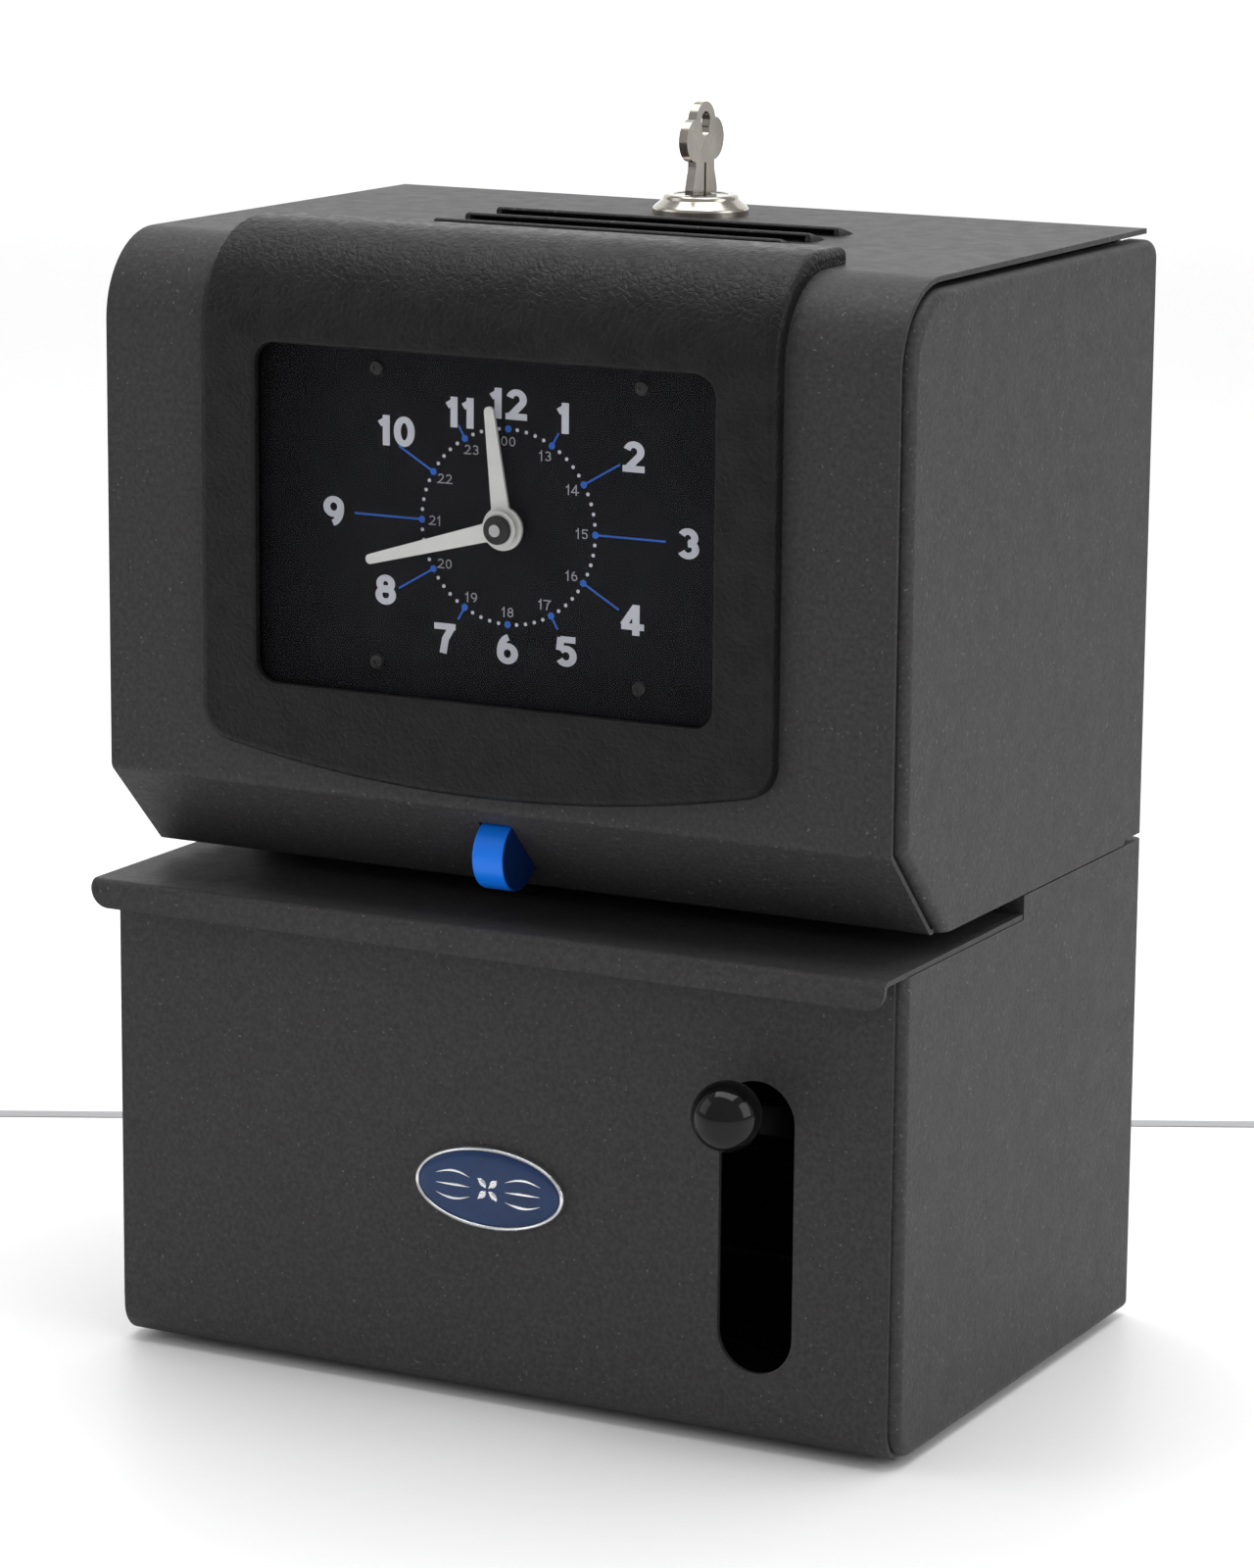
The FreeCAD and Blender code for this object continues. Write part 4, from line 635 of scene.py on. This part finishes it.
finish_mesh(strokes, "badge_ornament", silver, "chassis", 40.0)


# ---------------------------------------------------------------- spring and ribbon

def tube(bm, path, radius, sides=10):
    """A round wire along a list of points."""
    loops = []
    up = Vector((1, 0, 0))
    for i, point in enumerate(path):
        along = (path[min(i + 1, len(path) - 1)] - path[max(i - 1, 0)]).normalized()
        across = along.cross(up)
        if across.length < 1e-6:
            across = along.cross(Vector((0, 1, 0)))
        across.normalize()
        up = across.cross(along).normalized()
        ring = [across * cos(2 * pi * k / sides) + up * sin(2 * pi * k / sides) for k in range(sides)]
        loops.append([bm.verts.new(point + r * radius) for r in ring])
    for a, b in zip(loops, loops[1:]):
        for k in range(sides):
            m = (k + 1) % sides
            bm.faces.new((a[k], a[m], b[m], b[k]))
    bm.faces.new(loops[0][::-1])
    bm.faces.new(loops[-1])


spring_low, spring_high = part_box("return_spring")
WIRE_R = 0.75 * MM
coil_r = (spring_high.y - spring_low.y) / 2 - WIRE_R
coil_y = (spring_high.y + spring_low.y) / 2
coil_z = spring_high.z - coil_r - WIRE_R
coil_x0, coil_x1 = spring_low.x + WIRE_R, spring_high.x - WIRE_R
TURNS, TURN_STEPS = 8, 24
LEG_FOOT, LEG_TOP = 0.5 * MM, 4.0 * MM
spiral = [Vector((coil_x0, coil_y + coil_r, spring_low.z + LEG_FOOT))]
spiral.append(Vector((coil_x0, coil_y + coil_r, coil_z - LEG_TOP)))
for i in range(TURNS * TURN_STEPS + 1):
    t = i / (TURNS * TURN_STEPS)
    a = 2 * pi * TURNS * t
    x = coil_x0 + (coil_x1 - coil_x0) * t
    spiral.append(Vector((x, coil_y + coil_r * cos(a), coil_z + coil_r * sin(a))))
spring = bmesh.new()
tube(spring, spiral, WIRE_R)
spring_piece = finish_mesh(spring, "return_spring_wire", materials["turned_steel"],
                           "chassis", 60.0)
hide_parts("return_spring")

left_spool, right_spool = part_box("ribbon_spool_left"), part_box("ribbon_spool_right")
guide_low, guide_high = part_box("ribbon_guides")
ribbon_low, ribbon_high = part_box("ribbon")
RIBBON_T = 0.2 * MM
FULL_ROLL_R, SMALL_ROLL_R, ROLL_GAP = 13.0 * MM, 8.5 * MM, 0.5 * MM
BEND_STEPS, RUN_STEPS, WEB_STEPS = 8, 12, 6
GUIDE_R = (guide_high.z - guide_low.z) / 2
guide_x = (guide_high.x - guide_low.x) / 2 - GUIDE_R
guide_z = (guide_high.z + guide_low.z) / 2
bend_r = guide_z - ribbon_low.z - RIBBON_T / 2


def ribbon_side(side, spool, roll_r):
    """Points from the guide's underside round to the tangent, and up to the roll on the spool."""
    centre = (spool[0] + spool[1]) / 2
    across, up = abs(centre.x) - guide_x, centre.z - guide_z
    reach = sqrt(across ** 2 + up ** 2)
    gap = bend_r + roll_r + ROLL_GAP
    turn = atan2(up, across) + asin(gap / reach)
    points = []
    for i in range(BEND_STEPS + 1):
        a = turn * i / BEND_STEPS
        points.append((side * (guide_x + bend_r * sin(a)), guide_z - bend_r * cos(a)))
    length = sqrt(reach ** 2 - gap ** 2)
    x, z = points[-1]
    for i in range(1, RUN_STEPS + 1):
        run = length * i / RUN_STEPS
        points.append((x + side * run * cos(turn), z + run * sin(turn)))
    return points


ribbon_path = ribbon_side(-1, left_spool, FULL_ROLL_R)[::-1] + ribbon_side(1, right_spool, SMALL_ROLL_R)
ribbon_width = ribbon_high.y - ribbon_low.y
ribbon_bm = bmesh.new()
rows = []
for i, (x, z) in enumerate(ribbon_path):
    ax, az = ribbon_path[max(i - 1, 0)]
    bx, bz = ribbon_path[min(i + 1, len(ribbon_path) - 1)]
    along = Vector((bx - ax, bz - az)).normalized()
    off = RIBBON_T / 2
    sides = [(x - along.y * off, z + along.x * off), (x + along.y * off, z - along.x * off)]
    ys = [ribbon_low.y + ribbon_width * k / WEB_STEPS for k in range(WEB_STEPS + 1)]
    loop = [(sides[0][0], y, sides[0][1]) for y in ys] + [(sides[1][0], y, sides[1][1]) for y in ys[::-1]]
    rows.append([ribbon_bm.verts.new(p) for p in loop])
for a, b in zip(rows, rows[1:]):
    for k in range(len(a)):
        m = (k + 1) % len(a)
        ribbon_bm.faces.new((a[k], a[m], b[m], b[k]))
ribbon_bm.faces.new(rows[0][::-1])
ribbon_bm.faces.new(rows[-1])
ribbon_piece = finish_mesh(ribbon_bm, "ribbon_cloth", materials["ribbon_ink"], "chassis", 60.0)
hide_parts("ribbon")


# ---------------------------------------------------------------- camera

def camera():
    """Looks along forward, with the roll turning its right and up about that line."""
    ahead = cos(CAMERA_PITCH)
    forward = Vector((-sin(CAMERA_YAW) * ahead, cos(CAMERA_YAW) * ahead, sin(CAMERA_PITCH)))
    level = Vector((cos(CAMERA_YAW), sin(CAMERA_YAW), 0.0))
    upright = level.cross(forward)
    right = level * cos(CAMERA_ROLL) + upright * sin(CAMERA_ROLL)
    up = upright * cos(CAMERA_ROLL) - level * sin(CAMERA_ROLL)
    data = bpy.data.cameras.new("camera")
    data.lens = LENS_MM
    data.sensor_fit = "AUTO"
    data.sensor_width = SENSOR_MM
    data.clip_start = 0.02
    data.clip_end = 50.0
    data.dof.use_dof = False
    seat = bpy.data.objects.new("camera", data)
    bpy.context.scene.collection.objects.link(seat)
    turn = Matrix((right, up, -forward)).transposed().to_4x4()
    seat.matrix_world = Matrix.Translation(CAMERA_PLACE) @ turn
    bpy.context.scene.camera = seat


camera()


# ---------------------------------------------------------------- floor, backdrop and light

def along_view(depth, aside, height):
    """A place given from the object's centre: behind it as the camera looks, to the right, and up."""
    x = -sin(CAMERA_YAW) * depth + cos(CAMERA_YAW) * aside
    y = cos(CAMERA_YAW) * depth + sin(CAMERA_YAW) * aside
    return (x, y, height)


TABLE_BACK = 0.2
BACKDROP = 3.0
BACKDROP_LOW, BACKDROP_HIGH = -1.5, 3
STAGE_HALF = 4
# EDGE_WIDTH and EDGE_LIFT size the strip of painted shade at the table's back edge.
EDGE_WIDTH, EDGE_LIFT = 0.006, 0.0002


def stage_plane(name, first, last, material):
    """A wide plane square to the view, from one (depth, height) to another."""
    corners = [along_view(first[0], -STAGE_HALF, first[1]), along_view(first[0], STAGE_HALF, first[1]),
               along_view(last[0], STAGE_HALF, last[1]), along_view(last[0], -STAGE_HALF, last[1])]
    data = bpy.data.meshes.new(name)
    data.from_pydata(corners, [], [(0, 1, 2, 3)])
    data.materials.append(material)
    plane = bpy.data.objects.new(name, data)
    bpy.context.scene.collection.objects.link(plane)


floor_mat, _ = shader("floor", grey(0.96), 0.45, specular=0.3)
stage_plane("floor", (-STAGE_HALF, 0), (BACKDROP, 0), floor_mat)
# Painted shade: a thin dark strip laid on the floor where the table's back edge drops away, standing in for
# the shade of that edge.
edge_shade_mat, _ = shader("painted_edge_shade", (0.38, 0.38, 0.39), 0.6, specular=0.2)
stage_plane("painted_edge_shade", (TABLE_BACK - EDGE_WIDTH, EDGE_LIFT), (TABLE_BACK, EDGE_LIFT), edge_shade_mat)
backdrop_mat, backdrop_bsdf = shader("backdrop", grey(0.9), 1.0, specular=0.0)
backdrop_bsdf.inputs["Emission Color"].default_value = (1.0, 1.0, 1.0, 1.0)
backdrop_bsdf.inputs["Emission Strength"].default_value = 0.75
stage_plane("backdrop", (BACKDROP, BACKDROP_LOW), (BACKDROP, BACKDROP_HIGH), backdrop_mat)


def area_light(name, at, toward, size, power):
    """A soft rectangular lamp, turned to face a point."""
    data = bpy.data.lights.new(name, "AREA")
    data.shape = "RECTANGLE"
    data.size, data.size_y = size
    data.energy = power
    lamp = bpy.data.objects.new(name, data)
    bpy.context.scene.collection.objects.link(lamp)
    lamp.location = at
    lamp.rotation_euler = (Vector(toward) - Vector(at)).to_track_quat("-Z", "Y").to_euler()


area_light("top_light", at=(0.0, 0.1, 1.6), toward=(0.0, 0.0, 0.15), size=(1.6, 1.2), power=20.0)
area_light("left_light", at=(-1.5, -0.9, 0.9), toward=(0.0, 0.0, 0.15), size=(1.0, 1.2), power=4.0)
area_light("right_light", at=(1.6, 0.1, 0.8), toward=(0.0, 0.0, 0.12), size=(0.9, 1.2), power=8.0)

world = bpy.data.worlds.new("white_room")
bpy.context.scene.world = world
world.use_nodes = True
background = world.node_tree.nodes["Background"]
background.inputs["Color"].default_value = (1.0, 1.0, 1.0, 1.0)
background.inputs["Strength"].default_value = 0.5
bpy.context.scene.view_settings.view_transform = "Standard"
